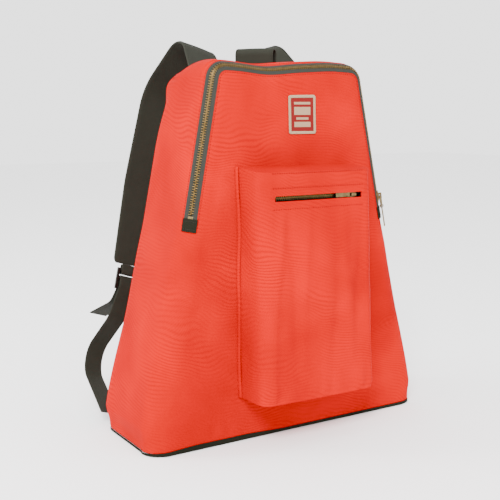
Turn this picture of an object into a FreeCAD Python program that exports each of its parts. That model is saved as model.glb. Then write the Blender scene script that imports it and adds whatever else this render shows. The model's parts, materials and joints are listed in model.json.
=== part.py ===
"""Classic trapezoid daypack: one zipped main compartment, a front pocket, a haul loop and two webbing straps.

Row frame in millimetres: +Z up, -Y the front (pocket side), origin at the centre of the base's underside.
Front pieces sit in a leaning front frame: X across, Y into the bag, Z up along the front panel.
Zip pieces sit in a zip frame: X across the tape, Y along the teeth, Z out of the bag.
"""
import FreeCAD
import Part
import Sketcher
import math
import os
import re

Vector = FreeCAD.Vector
Rotation = FreeCAD.Rotation
Placement = FreeCAD.Placement

DIMS = {
    # the bag's own form
    "base_half_width": 200.0, "clear_half_width": 100.0, "clear_height": 500.0,
    "half_depth": 69.0, "front_lean": 12.2, "crown_height": 448.0,
    "seam_depth": 38.0, "seam_height": 441.0, "shoulder_height": 345.0,
    "yoke_radius": 124.0, "shoulder_radius": 164.0,
    "front_edge_radius": 24.0, "crown_side_radius": 24.0,
    "base_edge_radius": 8.0, "fabric_wall": 2.0,
    "base_seam_height": 4.0, "side_seam_height": 434.0, "back_seam_inset": 9.0,
    # the main zip, along the middle of the rounded front edge
    "zip_foot_height": 262.0, "zip_gap": 1.6, "tooth_reach": 3.1, "tooth_height": 2.4,
    "tape_reach": 8.0, "tape_thick": 1.0, "slot_depth": 14.0,
    "hinge_height": 334.0, "hinge_gap": 0.5,
    "tab_length": 14.0, "tab_half_width": 8.4, "tab_thick": 1.6, "stop_length": 3.0,
    # zip sliders, ring and pulls
    "slider_length": 12.0, "slider_half_width": 5.0, "slider_plate": 1.2, "slider_channel": 1.7,
    "slider_lip": 0.8, "slider_post": 0.9, "slider_rest": 24.0,
    "lug_length": 7.0, "lug_half_width": 1.5, "lug_rise": 4.0, "lug_hole_radius": 1.4,
    "ring_radius": 7.0, "ring_wire": 0.9,
    "pull_length": 27.0, "pull_half_width": 2.6, "pull_thick": 1.3, "pull_eye_radius": 2.4,
    "pull_hole_radius": 1.4, "pull_eye_length": 2.8,
    # the front pocket
    "pocket_half_width": 81.0, "pocket_base_height": 55.0, "pocket_top_height": 330.0,
    "pocket_base_depth": 56.0, "pocket_top_depth": 50.0, "pocket_top_drop": 6.0,
    "pocket_edge_radius": 14.0, "pocket_wall": 1.6,
    "pocket_zip_height": 294.0, "pocket_zip_half_length": 64.0, "pocket_slit": 7.0,
    "pocket_zip_inset": 8.5, "pocket_pull_length": 26.0,
    "binding_wide": 3.0, "binding_rise": 5.0,
    # the label patch
    "patch_wide": 40.0, "patch_tall": 47.0, "patch_thick": 0.8, "patch_across": 13.0,
    "patch_height": 390.0,
    # straps and webbing
    "strap_wide": 50.0, "strap_thick": 3.0, "strap_across": 60.0, "strap_splay": 16.0,
    "strap_tip_depth": 128.0, "strap_tip_height": 181.0,
    "strap_bow": 26.0, "webbing_drop": 185.0,
    "webbing_wide": 25.0, "webbing_thick": 1.8, "webbing_splay": 18.0,
    "loop_wide": 50.0, "loop_thick": 2.4, "loop_rise": 31.0, "loop_half_gap": 8.5,
    "loop_turn": 50.0, "loop_depth": 25.0, "loop_root_height": 441.0,
    # ladder buckles
    "buckle_half_width": 17.0, "buckle_rail": 3.0, "buckle_thick": 3.2, "buckle_length": 28.0,
    "bar_radius": 1.6, "bar_clearance": 0.35, "bar_pitch": 10.0,
    "keeper_wall": 1.4, "keeper_reach": 10.0,
}

doc = FreeCAD.newDocument("daypack")
sheet = doc.addObject("Spreadsheet::Sheet", "dims")
for row, (alias, size) in enumerate(DIMS.items(), start=1):
    sheet.set(f"A{row}", alias)
    sheet.set(f"B{row}", str(size))
    sheet.setAlias(f"B{row}", alias)
doc.recompute()


# --- expressions and placements -----------------------------------------------------------------

def bound(text):
    """Points every sheet name in an expression at the sheet."""
    return re.sub(r"\b[a-z]+(?:_[a-z]+)+\b", lambda found: "dims." + found.group(0), str(text))


def number(text):
    """The value an expression over the sheet's names has now."""
    found = sheet.evalExpression(bound(text))
    return float(getattr(found, "Value", found))


def link(obj, prop, text):
    obj.setExpression(prop, bound(text))


def turned(axis, degrees):
    return Placement(Vector(0, 0, 0), Rotation(Vector(*axis), degrees))


def moved(x, y, z):
    return Placement(Vector(x, y, z), Rotation())


SIDE_VIEW = Placement(Vector(0, 0, 0), Rotation(Vector(0, 1, 0), Vector(0, 0, 1), Vector(1, 0, 0), "XYZ"))
FRONT_VIEW = turned((1, 0, 0), 90)
LEAN = math.degrees(math.atan(number("front_lean / crown_height")))
FRONT = moved(0, -number("half_depth"), 0) * turned((1, 0, 0), -LEAN)
SPLAY = math.atan(number("(base_half_width - clear_half_width) / clear_height"))


# --- sketches and simple solids -----------------------------------------------------------------

def outline(name, points, place=None, rounds=None, arcs=None, closed=True, body=None, role="XY_Plane"):
    """A sketch through points given as expressions; rounds maps a corner to its radius expression.

    arcs maps the side that starts at a point to the radius of an outward bulge.
    """
    rounds, arcs = rounds or {}, arcs or {}
    if body is None:
        sketch = doc.addObject("Sketcher::SketchObject", name)
        sketch.Placement = place or Placement()
    else:
        sketch = body.newObject("Sketcher::SketchObject", name)
        plane = [item for item in body.Origin.OriginFeatures if item.Role == role][0]
        sketch.AttachmentSupport = (plane, [""])
        sketch.MapMode = "FlatFace"
    spots = [Vector(number(x), number(y), 0) for x, y in points]
    count = len(points)
    sides = count if closed else count - 1
    for index in range(sides):
        start, end = spots[index], spots[(index + 1) % count]
        if index in arcs:
            radius = number(arcs[index])
            middle = (start + end) * 0.5
            half = (end - start).Length / 2
            along = (end - start).normalize()
            rise = math.sqrt(radius ** 2 - half ** 2)
            centre = middle + Vector(-along.y, along.x, 0) * rise
            angles = [math.atan2((spot - centre).y, (spot - centre).x) for spot in (start, end)]
            circle = Part.Circle(centre, Vector(0, 0, 1), radius)
            sketch.addGeometry(Part.ArcOfCircle(circle, *angles), False)
        else:
            sketch.addGeometry(Part.LineSegment(start, end), False)
    for index in range(sides if closed else sides - 1):
        sketch.addConstraint(Sketcher.Constraint("Coincident", index, 2, (index + 1) % sides, 1))
    for index, (x, y) in enumerate(points):
        side, end = (index, 1) if index < sides else (index - 1, 2)
        for kind, axis, text in (("DistanceX", -2, x), ("DistanceY", -1, y)):
            size = number(text)
            if abs(size) < 1e-9:
                sketch.addConstraint(Sketcher.Constraint("PointOnObject", side, end, axis))
            elif size > 0:
                made = sketch.addConstraint(Sketcher.Constraint(kind, -1, 1, side, end, size))
                link(sketch, f"Constraints[{made}]", text)
            else:
                made = sketch.addConstraint(Sketcher.Constraint(kind, side, end, -1, 1, -size))
                link(sketch, f"Constraints[{made}]", f"-({text})")
    for index, radius in arcs.items():
        made = sketch.addConstraint(Sketcher.Constraint("Radius", index, number(radius)))
        link(sketch, f"Constraints[{made}]", radius)
    doc.recompute()
    for corner, radius in rounds.items():
        before = sketch.GeometryCount
        sketch.fillet(corner if corner < sides else corner - 1, 1, number(radius), True, True)
        for place_of, item in enumerate(sketch.Constraints):
            if item.Type == "Radius" and item.First >= before:
                link(sketch, f"Constraints[{place_of}]", radius)
    doc.recompute()
    return sketch


def prism(name, sketch, forward, backward="0"):
    """A sketch pushed along its own normal."""
    solid = doc.addObject("Part::Extrusion", name)
    solid.Base = sketch
    solid.DirMode = "Normal"
    solid.Solid = True
    link(solid, "LengthFwd", forward)
    if backward != "0":
        link(solid, "LengthRev", backward)
    return solid


def centred_prism(name, sketch, length):
    return prism(name, sketch, f"({length}) / 2", f"({length}) / 2")


def block(name, corner, size, place=None):
    """A box from a corner and three sizes, all as expressions, in a given frame."""
    box = doc.addObject("Part::Box", name)
    for prop, text in zip(("Length", "Width", "Height"), size):
        link(box, prop, text)
    box.Placement = (place or Placement()) * moved(*[number(text) for text in corner])
    return box


def rod(name, radius, length, place):
    """A cylinder along X, centred on its frame's origin."""
    bar = doc.addObject("Part::Cylinder", name)
    link(bar, "Radius", radius)
    link(bar, "Height", length)
    bar.Placement = place * turned((0, 1, 0), 90) * moved(0, 0, -number(length) / 2)
    return bar


def common(name, first, second):
    made = doc.addObject("Part::Common", name)
    made.Base, made.Tool = first, second
    return made


def cut(name, first, second):
    made = doc.addObject("Part::Cut", name)
    made.Base, made.Tool = first, second
    return made


def fuse(name, *shapes):
    made = doc.addObject("Part::MultiFuse", name)
    made.Shapes = list(shapes)
    return made


NODES = []


def node(obj, name):
    obj.Label = name
    NODES.append((name, obj))
    return obj


# --- the bag's outer form -----------------------------------------------------------------------

def edges_where(shape, test):
    """The names of the edges whose middle passes a test."""
    names = []
    for index, edge in enumerate(shape.Edges, start=1):
        middle = edge.valueAt((edge.FirstParameter + edge.LastParameter) / 2)
        if test(middle, edge):
            names.append(f"Edge{index}")
    return names


def bag_form(name, inset="0"):
    """The whole bag as one solid: the front outline padded, cut back to the side outline, then rounded."""
    body = doc.addObject("PartDesign::Body", name)
    front = outline(name + "_front_outline", [
        (f"{inset} - base_half_width", inset), (f"base_half_width - {inset}", inset),
        (f"clear_half_width - {inset}", "clear_height"), (f"{inset} - clear_half_width", "clear_height")],
        body=body, role="XZ_Plane")
    pad = body.newObject("PartDesign::Pad", name + "_width")
    pad.Profile = front
    pad.Midplane = True
    link(pad, "Length", "4 * half_depth")
    doc.recompute()
    side = outline(name + "_side_outline", [
        (f"{inset} - half_depth", inset), (f"half_depth - {inset}", inset),
        (f"half_depth - {inset}", "shoulder_height"),
        (f"seam_depth - {inset} * 0.8", f"seam_height - {inset}"),
        (f"front_lean - half_depth + {inset}", f"crown_height - {inset}")],
        arcs={2: f"shoulder_radius - {inset}", 3: f"yoke_radius - {inset}"}, body=body, role="YZ_Plane")
    margin = number("3 * half_depth")
    top = number("clear_height + half_depth")
    frame = [Vector(-margin, -margin, 0), Vector(margin, -margin, 0), Vector(margin, top, 0),
             Vector(-margin, top, 0)]
    first = side.GeometryCount
    for index in range(4):
        side.addGeometry(Part.LineSegment(frame[index], frame[(index + 1) % 4]), False)
    for index in range(4):
        side.addConstraint(Sketcher.Constraint("Coincident", first + index, 2, first + (index + 1) % 4, 1))
        kind = "Horizontal" if index % 2 == 0 else "Vertical"
        side.addConstraint(Sketcher.Constraint(kind, first + index))
    for args, text in ((("DistanceX", -1, 1, first + 1, 1), "3 * half_depth"),
                       (("DistanceX", first, 1, -1, 1), "3 * half_depth"),
                       (("DistanceY", first, 1, -1, 1), "3 * half_depth"),
                       (("DistanceY", -1, 1, first + 2, 1), "clear_height + half_depth")):
        made = side.addConstraint(Sketcher.Constraint(*args, number(text)))
        link(side, f"Constraints[{made}]", text)
    doc.recompute()
    trim = body.newObject("PartDesign::Pocket", name + "_depth")
    trim.Profile = side
    trim.Midplane = True
    link(trim, "Length", "4 * base_half_width")
    body.Tip = trim
    doc.recompute()
    seam = number("seam_depth")
    floor = number(inset)

    def is_crown_side(middle, edge):
        return middle.z > number("shoulder_height") + 20 and abs(middle.x) > 60 \
            and -number("half_depth") + 20 < middle.y < seam

    def is_back_side(middle, edge):
        return abs(middle.x) > 60 and middle.z > floor + 1 and middle.y > seam + 5

    def is_front(middle, edge):
        return middle.y < -number("half_depth") + number("front_lean") + 12 and middle.z > floor + 1

    def is_base(middle, edge):
        return middle.z < floor + 0.01

    last = trim
    for word, test, radius in (("crown", lambda m, e: is_crown_side(m, e) or is_back_side(m, e),
                                "crown_side_radius"),
                               ("front", is_front, "front_edge_radius"),
                               ("base", is_base, "base_edge_radius")):
        names = edges_where(last.Shape, test)
        rounded = body.newObject("PartDesign::Fillet", f"{name}_{word}_rounding")
        rounded.Base = (last, names)
        link(rounded, "Radius", f"{radius} - {inset}")
        body.Tip = rounded
        doc.recompute()
        last = rounded
    return body


form = bag_form("bag_form")
inner = bag_form("bag_inner", "fabric_wall")

# the fabric wall above the base seam, and the base cloth below it
above = block("above_base_seam", ("-300", "-200", "base_seam_height"), ("600", "400", "500"))
below = block("below_base_seam", ("-300", "-200", "-10"), ("600", "400", "base_seam_height + 10"))
BACK_SEAM = [("half_depth - back_seam_inset", "-20"), ("half_depth - back_seam_inset", "shoulder_height"),
             ("seam_depth", "seam_height - 9"), ("seam_depth", "520")]
front_room = prism("front_room", outline(
    "front_room_outline", BACK_SEAM + [("-half_depth - 60", "520"), ("-half_depth - 60", "-20")],
    SIDE_VIEW), "250", "250")
back_room = prism("back_room", outline(
    "back_room_outline", BACK_SEAM + [("half_depth + 60", "520"), ("half_depth + 60", "-20")],
    SIDE_VIEW), "250", "250")
form_above = common("form_above", form, above)
wall = cut("wall", common("form_in_front", form_above, front_room), inner)
node(cut("back_panel", common("form_behind", form_above, back_room), inner), "back_panel")
base = cut("base_cloth", common("form_below", form, below), inner)
node(base, "base_panel")


# --- the main zip's path ------------------------------------------------------------------------

SLOPE = "(base_half_width - clear_half_width) / clear_height"
INSET = "0.293 * front_edge_radius"


def leg_across(height):
    """Distance of the zip leg from the middle of the bag at a height."""
    return f"(base_half_width - ({height}) * {SLOPE} - {INSET} * 1.0175)"


ZIP_PLANE = FRONT * moved(0, number(INSET), 0) * FRONT_VIEW
CROWN = "(crown_height + 0.4)"
path = outline("main_zip_path", [
    (f"-{leg_across('zip_foot_height')}", "zip_foot_height"), (f"-{leg_across(CROWN)}", CROWN),
    (leg_across(CROWN), CROWN), (leg_across("zip_foot_height"), "zip_foot_height")],
    ZIP_PLANE, {1: f"crown_side_radius - {INSET}", 2: f"crown_side_radius - {INSET}"}, closed=False)


def zip_frame(side):
    """A frame at the foot of one zip leg: X across, Y up along the teeth, Z out of the bag."""
    up = Vector(-side * math.sin(SPLAY), 0, math.cos(SPLAY))
    out = Vector(side * math.cos(SPLAY), -1, math.sin(SPLAY)).normalize()
    across = up.cross(out)
    foot = Vector(side * number(leg_across("zip_foot_height")), number(INSET), number("zip_foot_height"))
    return FRONT * Placement(foot, Rotation(across, up, out, "YZX"))


LEFT_ZIP, RIGHT_ZIP = zip_frame(-1), zip_frame(1)
PROFILE = LEFT_ZIP * turned((1, 0, 0), 90)


def swept(name, near, far, thick):
    """A flat strip swept along the main zip, from one offset across the tape to another."""
    profile = outline(name + "_section", [
        (near, f"-({thick}) / 2"), (far, f"-({thick}) / 2"), (far, f"({thick}) / 2"),
        (near, f"({thick}) / 2")], PROFILE)
    strip = doc.addObject("Part::Sweep", name)
    strip.Sections = [profile]
    strip.Spine = (path, [])
    strip.Solid = True
    strip.Frenet = False
    return strip


slot = swept("main_zip_slot", "-tape_reach", "tape_reach", "slot_depth")
open_wall = cut("wall_with_slot", wall, slot)


# --- fabric panels of the bag -------------------------------------------------------------------

ABOVE_HINGE = "hinge_height + hinge_gap / 2"
BELOW_HINGE = "hinge_height - hinge_gap / 2"
flap_room = block("flap_room", ("-200", "-10", ABOVE_HINGE), ("400", "16", "140"), FRONT)
flap_clear = block("flap_clear", ("-200", "-10", BELOW_HINGE), ("400", "16", "140"), FRONT)
node(common("front_flap", open_wall, flap_room), "front_flap")

sides = cut("wall_without_flap", open_wall, flap_clear)
yoke_room = block("yoke_room", ("-200", "-half_depth - 20", "side_seam_height"),
                  ("400", "half_depth + 20 + seam_depth", "60"))
node(common("top_yoke", sides, yoke_room), "top_yoke")
node(cut("body_wrap", sides, yoke_room), "body_wrap")

node(block("label_patch", ("patch_across - patch_wide / 2", "-patch_thick", "patch_height - patch_tall / 2"),
           ("patch_wide", "patch_thick", "patch_tall"), FRONT), "label_patch")


# --- the main zip -------------------------------------------------------------------------------

CHAIN_FOOT = "zip_foot_height + tab_length + stop_length - 3"
tape_outer = swept("main_zip_tape_body", "-tape_reach", "-tooth_reach", "tape_thick")
tape_inner = swept("inner_tape", "tooth_reach", "tape_reach", "tape_thick")
chain_outer = swept("outer_chain", "-tooth_reach", "-zip_gap / 2", "tooth_height")
chain_inner = swept("inner_chain", "zip_gap / 2", "tooth_reach", "tooth_height")
upper_room = block("upper_room", ("-200", "-20", ABOVE_HINGE), ("400", "60", "140"), FRONT)
chain_room = block("chain_room", ("-200", "-20", CHAIN_FOOT), ("400", "60", "220"), FRONT)
node(tape_outer, "main_zip_tape_body")
node(common("main_zip_chain_body", chain_outer, chain_room), "main_zip_chain_body")
node(common("main_zip_tape_flap", tape_inner, upper_room), "main_zip_tape_flap")
node(common("main_zip_chain_flap", chain_inner, upper_room), "main_zip_chain_flap")

for side, word, frame in ((-1, "left", LEFT_ZIP), (1, "right", RIGHT_ZIP)):
    west = "-200" if side < 0 else "0"
    tape_room = block(f"{word}_tape_room", (west, "-20", "zip_foot_height - 10"),
                      ("200", "60", "hinge_height - hinge_gap / 2 - zip_foot_height + 10"), FRONT)
    tooth_room = block(f"{word}_tooth_room", (west, "-20", CHAIN_FOOT),
                       ("200", "60", f"{BELOW_HINGE} - ({CHAIN_FOOT})"), FRONT)
    node(common(f"main_zip_tape_lower_{word}", tape_inner, tape_room), f"main_zip_tape_lower_{word}")
    node(common(f"main_zip_chain_lower_{word}", chain_inner, tooth_room), f"main_zip_chain_lower_{word}")
    node(block(f"zip_end_tab_{word}", ("-tab_half_width", "-4", "tape_thick / 2"),
               ("2 * tab_half_width", "tab_length", "tab_thick"), frame), f"zip_end_tab_{word}")
    node(block(f"main_zip_stop_{word}", ("-tooth_reach", "tab_length - 4", "-tooth_height / 2"),
               ("2 * tooth_reach", "stop_length", "tooth_height"), frame), f"main_zip_stop_{word}")


# --- zip sliders and pulls ----------------------------------------------------------------------

LUG_EYE = "slider_channel + slider_plate + lug_rise / 2"


def slider(name, frame):
    """A zip slider: two plates joined by a post between the teeth rows, lips over the tapes, and a lug."""
    pieces = []
    for word, base_level, lip_level in (("top", "slider_channel", "slider_lip"),
                                        ("bottom", "-slider_channel - slider_plate", "-slider_channel")):
        pieces.append(block(f"{name}_{word}_plate", ("-slider_half_width", "-slider_length / 2", base_level),
                            ("2 * slider_half_width", "slider_length", "slider_plate"), frame))
        for side in (-1, 1):
            edge = "-slider_half_width" if side < 0 else "tooth_reach + 0.5"
            pieces.append(block(f"{name}_{word}_lip_{side + 1}", (edge, "-slider_length / 2", lip_level),
                                ("slider_half_width - tooth_reach - 0.5", "slider_length",
                                 "slider_channel - slider_lip"), frame))
    pieces.append(block(f"{name}_post", ("-slider_post / 2", "slider_length / 6", "-slider_channel"),
                        ("slider_post", "slider_length / 3", "2 * slider_channel"), frame))
    pieces.append(block(f"{name}_lug", ("-lug_half_width", "-lug_length / 2", "slider_channel + slider_plate"),
                        ("2 * lug_half_width", "lug_length", "lug_rise"), frame))
    hole = rod(f"{name}_hole", "lug_hole_radius", "4 * lug_half_width", frame * moved(0, 0, number(LUG_EYE)))
    return node(cut(name, fuse(name + "_blank", *pieces), hole), name)


MAIN_SLIDER = RIGHT_ZIP * moved(0, number("slider_rest"), 0)
slider("main_zip_slider", MAIN_SLIDER)
ring = doc.addObject("Part::Torus", "main_zip_ring")
link(ring, "Radius1", "ring_radius")
link(ring, "Radius2", "ring_wire")
ring.Placement = MAIN_SLIDER * moved(0, -number("ring_radius"), number(LUG_EYE))
node(ring, "main_zip_ring")
EYE = MAIN_SLIDER * moved(0, -number("2 * ring_radius"), number(LUG_EYE))
node(cut("main_zip_pull", fuse(
    "pull_blank", rod("pull_eye", "pull_eye_radius", "pull_eye_length", EYE),
    block("pull_blade", ("-pull_half_width", "-pull_length", "-pull_thick / 2"),
          ("2 * pull_half_width", "pull_length - pull_hole_radius - 0.5", "pull_thick"), EYE)),
    rod("pull_hole", "pull_hole_radius", "3 * pull_half_width", EYE)), "main_zip_pull")


# --- the front pocket ---------------------------------------------------------------------------

def pocket_form(name, inset="0"):
    """The pocket's solid box: its side outline padded across, with rounded upright edges in front."""
    body = doc.addObject("PartDesign::Body", name)
    back = "0" if inset == "0" else "10"
    side = outline(name + "_outline", [
        (back, f"pocket_base_height + {inset}"), (back, f"pocket_top_height - {inset}"),
        (f"{inset} - pocket_top_depth", f"pocket_top_height - pocket_top_drop - {inset}"),
        (f"{inset} - pocket_base_depth", f"pocket_base_height + {inset}")], body=body, role="YZ_Plane")
    pad = body.newObject("PartDesign::Pad", name + "_width")
    pad.Profile = side
    pad.Midplane = True
    link(pad, "Length", f"2 * pocket_half_width - 2 * {inset}")
    body.Tip = pad
    doc.recompute()
    upright = edges_where(pad.Shape, lambda middle, edge: middle.y < -number("pocket_top_depth") + 6
                          and abs(middle.x) > 50)
    rounded = body.newObject("PartDesign::Fillet", name + "_rounding")
    rounded.Base = (pad, upright)
    link(rounded, "Radius", f"pocket_edge_radius - {inset}")
    body.Tip = rounded
    body.Placement = FRONT
    doc.recompute()
    return body


pocket_wall = cut("pocket_cloth", pocket_form("pocket_form"), pocket_form("pocket_inner", "pocket_wall"))
lower_room = block("pocket_floor_room", ("-100", "-80", "pocket_base_height - 10"),
                   ("200", "100", "10 + pocket_wall"), FRONT)
top_room = prism("pocket_top_room", outline("pocket_top_outline", [
    ("10", "pocket_top_height - pocket_wall + pocket_top_drop * 10 / pocket_top_depth"), ("10", "350"),
    ("-80", "350"),
    ("-80", "pocket_top_height - pocket_wall - pocket_top_drop * 80 / pocket_top_depth")],
    FRONT * SIDE_VIEW), "100", "100")
node(common("pocket_bottom_gusset", pocket_wall, lower_room), "pocket_bottom_gusset")
above_floor = cut("pocket_above_floor", pocket_wall, lower_room)
node(common("pocket_top_gusset", above_floor, top_room), "pocket_top_gusset")
pocket_face = cut("pocket_face", above_floor, top_room)
SLIT_TOP = "pocket_zip_height + pocket_slit / 2"
band_room = block("pocket_band_room", ("pocket_edge_radius - pocket_half_width", "-80", SLIT_TOP),
                  ("2 * pocket_half_width - 2 * pocket_edge_radius", "45", "50"), FRONT)
slit = block("pocket_slit", ("-pocket_zip_half_length", "-80", "pocket_zip_height - pocket_slit / 2"),
             ("2 * pocket_zip_half_length", "45", "pocket_slit"), FRONT)
band = node(common("pocket_upper_band", pocket_face, band_room), "pocket_upper_band")
front = node(cut("pocket_front_panel", cut("pocket_face_below_band", pocket_face, band_room), slit),
             "pocket_front_panel")
for side, word in ((-1, "left"), (1, "right")):
    near = "-pocket_half_width - binding_wide" if side < 0 else "pocket_half_width"
    node(block(f"pocket_binding_{word}", (near, "-binding_rise", "pocket_base_height"),
               ("binding_wide", "binding_rise", "pocket_top_height - pocket_base_height"), FRONT),
         f"pocket_binding_{word}")

POCKET_ZIP = FRONT * Placement(
    Vector(0, number("pocket_zip_inset - pocket_top_depth - 0.7"), number("pocket_zip_height")),
    Rotation(Vector(0, 0, -1), Vector(1, 0, 0), Vector(0, -1, 0), "YZX"))
for side, word, cloth in ((-1, "upper", band), (1, "lower", front)):
    chain_near = "-tooth_reach" if side < 0 else "zip_gap / 2"
    tape_near = "-tape_reach" if side < 0 else "tooth_reach"
    fold_near = "-tape_reach" if side < 0 else "tape_reach - tape_thick"
    node(block(f"pocket_zip_chain_{word}",
               (chain_near, "stop_length - pocket_zip_half_length", "-tooth_height / 2"),
               ("tooth_reach - zip_gap / 2", "2 * pocket_zip_half_length - 2 * stop_length", "tooth_height"),
               POCKET_ZIP), f"pocket_zip_chain_{word}")
    strip = block(f"pocket_tape_{word}_strip", (tape_near, "-pocket_zip_half_length", "-tape_thick / 2"),
                  ("tape_reach - tooth_reach", "2 * pocket_zip_half_length", "tape_thick"), POCKET_ZIP)
    fold = block(f"pocket_tape_{word}_fold", (fold_near, "-pocket_zip_half_length", "-tape_thick / 2"),
                 ("tape_thick", "2 * pocket_zip_half_length", "pocket_zip_inset"), POCKET_ZIP)
    node(cut(f"pocket_zip_tape_{word}", fuse(f"pocket_tape_{word}_blank", strip, fold), cloth),
         f"pocket_zip_tape_{word}")
for side, word in ((-1, "left"), (1, "right")):
    near = "-pocket_zip_half_length" if side < 0 else "pocket_zip_half_length - stop_length"
    node(block(f"pocket_zip_stop_{word}", ("-tooth_reach", near, "-tooth_height / 2"),
               ("2 * tooth_reach", "stop_length", "tooth_height"), POCKET_ZIP), f"pocket_zip_stop_{word}")

POCKET_SLIDER = POCKET_ZIP * moved(0, number("pocket_zip_half_length - stop_length - slider_length / 2 - 1"), 0)
slider("pocket_zip_slider", POCKET_SLIDER)
HOOK = POCKET_SLIDER * moved(0, 0, number(LUG_EYE))
arms = [block(f"pocket_pull_arm_{side + 1}", ("-pull_half_width" if side < 0 else "lug_half_width + 0.4",
                                              "-lug_length", "-pull_thick / 2"),
              ("pull_half_width - lug_half_width - 0.4", "lug_length + ring_wire", "pull_thick"), HOOK)
        for side in (-1, 1)]
node(fuse("pocket_zip_pull", rod("pocket_pull_bar", "ring_wire", "2 * pull_half_width", HOOK), *arms,
          block("pocket_pull_blade", ("-pull_half_width", "-pocket_pull_length", "-pull_thick / 2"),
                ("2 * pull_half_width", "pocket_pull_length - lug_length / 2 - 1.5", "pull_thick"), HOOK)),
     "pocket_zip_pull")


# --- straps, buckles and webbing ----------------------------------------------------------------

def webbing(name, points, rounds, place, thick, wide):
    """A flat strap that follows a rounded line in its own side view."""
    line = outline(name + "_line", points, place, rounds, closed=False)
    strip = doc.addObject("Part::Offset2D", name + "_strip")
    strip.Source = line
    strip.Fill = True
    strip.Mode = 0
    strip.Join = 0
    link(strip, "Value", thick)
    doc.recompute()
    return centred_prism(name, strip, wide)


DROP = "(seam_height + 5 - strap_tip_height)"
TIP_DEPTH = "(strap_tip_depth - strap_thick / 2)"
for side, word in ((-1, "left"), (1, "right")):
    hang = moved(side * number("strap_across"), 0, number("seam_height + 5")) \
        * turned((0, 1, 0), -side * number("strap_splay"))
    strap = webbing(f"{word}_strap_blank", [
        ("seam_depth - 4", "-14"), ("2.45 * seam_depth", "45"), ("4.35 * seam_depth", "-28"),
        ("strap_tip_depth + strap_bow", "-156"), ("strap_tip_depth", f"-{DROP}")],
        {1: "32", 2: "55", 3: "120"}, hang * SIDE_VIEW, "strap_thick", "strap_wide")
    node(cut(f"{word}_shoulder_strap", strap, form), f"{word}_shoulder_strap")

    tip = hang.multVec(Vector(0, number(TIP_DEPTH), -number(DROP)))
    slope = math.atan2(number("strap_bow"), number(DROP) - 156)
    down = moved(tip.x, tip.y, tip.z) * turned((0, 1, 0), -side * number("webbing_splay"))
    grip = down * Placement(Vector(0, 0, 0), Rotation(
        Vector(1, 0, 0), Vector(0, -math.sin(slope), -math.cos(slope)),
        Vector(0, math.cos(slope), -math.sin(slope)), "YZX"))
    pivot = grip * moved(0, number("keeper_reach"), 0)
    ring_out = "bar_radius + bar_clearance + keeper_wall"
    node(cut(f"{word}_buckle_keeper", fuse(
        f"{word}_keeper_blank", rod(f"{word}_keeper_wrap", ring_out, "webbing_wide", pivot),
        block(f"{word}_keeper_tongue", ("-webbing_wide / 2", "0.3", "-strap_thick / 2"),
              ("webbing_wide", "keeper_reach - bar_radius - bar_clearance - 0.6", "strap_thick"), grip)),
        rod(f"{word}_keeper_hole", "bar_radius + bar_clearance", "2 * webbing_wide", pivot)),
        f"{word}_buckle_keeper")

    frame_parts = [rod(f"{word}_bar_{index}", "bar_radius", "2 * buckle_half_width - 1",
                       grip * moved(0, number(f"keeper_reach + {index} * bar_pitch"), 0))
                   for index in range(3)]
    for edge in ("-buckle_half_width", "buckle_half_width - buckle_rail"):
        frame_parts.append(block(f"{word}_rail_{len(frame_parts)}",
                                 (edge, "keeper_reach - 4", "-buckle_thick / 2"),
                                 ("buckle_rail", "buckle_length", "buckle_thick"), grip))
    node(fuse(f"{word}_ladder_buckle", *frame_parts), f"{word}_ladder_buckle")

    def beside(along, out):
        """A point of the webbing's side view, along and out from the strap's tip."""
        y = number(TIP_DEPTH) - along * math.sin(slope) + out * math.cos(slope)
        return f"{y:.3f}", f"{-along * math.cos(slope) - out * math.sin(slope):.3f}"

    node(webbing(f"{word}_adjuster_webbing", [
        ("half_depth + 1.4", "-webbing_drop"), ("2.55 * half_depth", "-142"), ("1.78 * half_depth", "-72"),
        beside(30, -4), beside(15.6, -4), beside(15.6, 4), beside(30, 4),
        ("strap_tip_depth + 3", "-52"), ("strap_tip_depth + 56", "-77")],
        {1: "30", 2: "40", 4: "3.8", 5: "3.8", 7: "18"},
        moved(tip.x, 0, tip.z) * turned((0, 1, 0), -side * number("webbing_splay")) * SIDE_VIEW,
        "webbing_thick", "webbing_wide"), f"{word}_adjuster_webbing")

loop_frame = moved(0, number("loop_depth"), number("loop_root_height")) \
    * turned((0, 0, 1), -number("loop_turn"))
loop = webbing("loop_blank", [
    ("-loop_half_gap", "-14"), ("-loop_half_gap", "loop_rise"), ("loop_half_gap", "loop_rise"),
    ("loop_half_gap", "-24")], {1: "loop_half_gap - 0.5", 2: "loop_half_gap - 0.5"},
    loop_frame * SIDE_VIEW, "loop_thick", "loop_wide")
node(cut("haul_loop", loop, form), "haul_loop")


# --- checks and export --------------------------------------------------------------------------

doc.recompute()
for obj in doc.Objects:
    shape = getattr(obj, "Shape", None)
    if {"Invalid", "Error"} & set(obj.State) or (shape is not None and shape.isNull()):
        raise RuntimeError(f"{obj.Name} did not compute: {obj.State}")
os.makedirs("parts", exist_ok=True)
for name, obj in NODES:
    if not obj.Shape.isValid() or len(obj.Shape.Solids) != 1:
        print(f"{name}: valid {obj.Shape.isValid()}, solids {len(obj.Shape.Solids)}")
    obj.Shape.exportStep(f"parts/{name}.step")
print(f"{len(NODES)} nodes")
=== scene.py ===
"""The looks of the trapezoid daypack: cloth, brass zips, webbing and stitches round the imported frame.

Lengths are in metres. The front's pieces are worked out in its leaning frame: x across, n into the bag
and s up. Straps, webbing and the haul loop are drawn in millimetres, each in its own side view.
"""

import json
import math

import bpy
import numpy as np
from mathutils import Matrix, Vector


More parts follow.
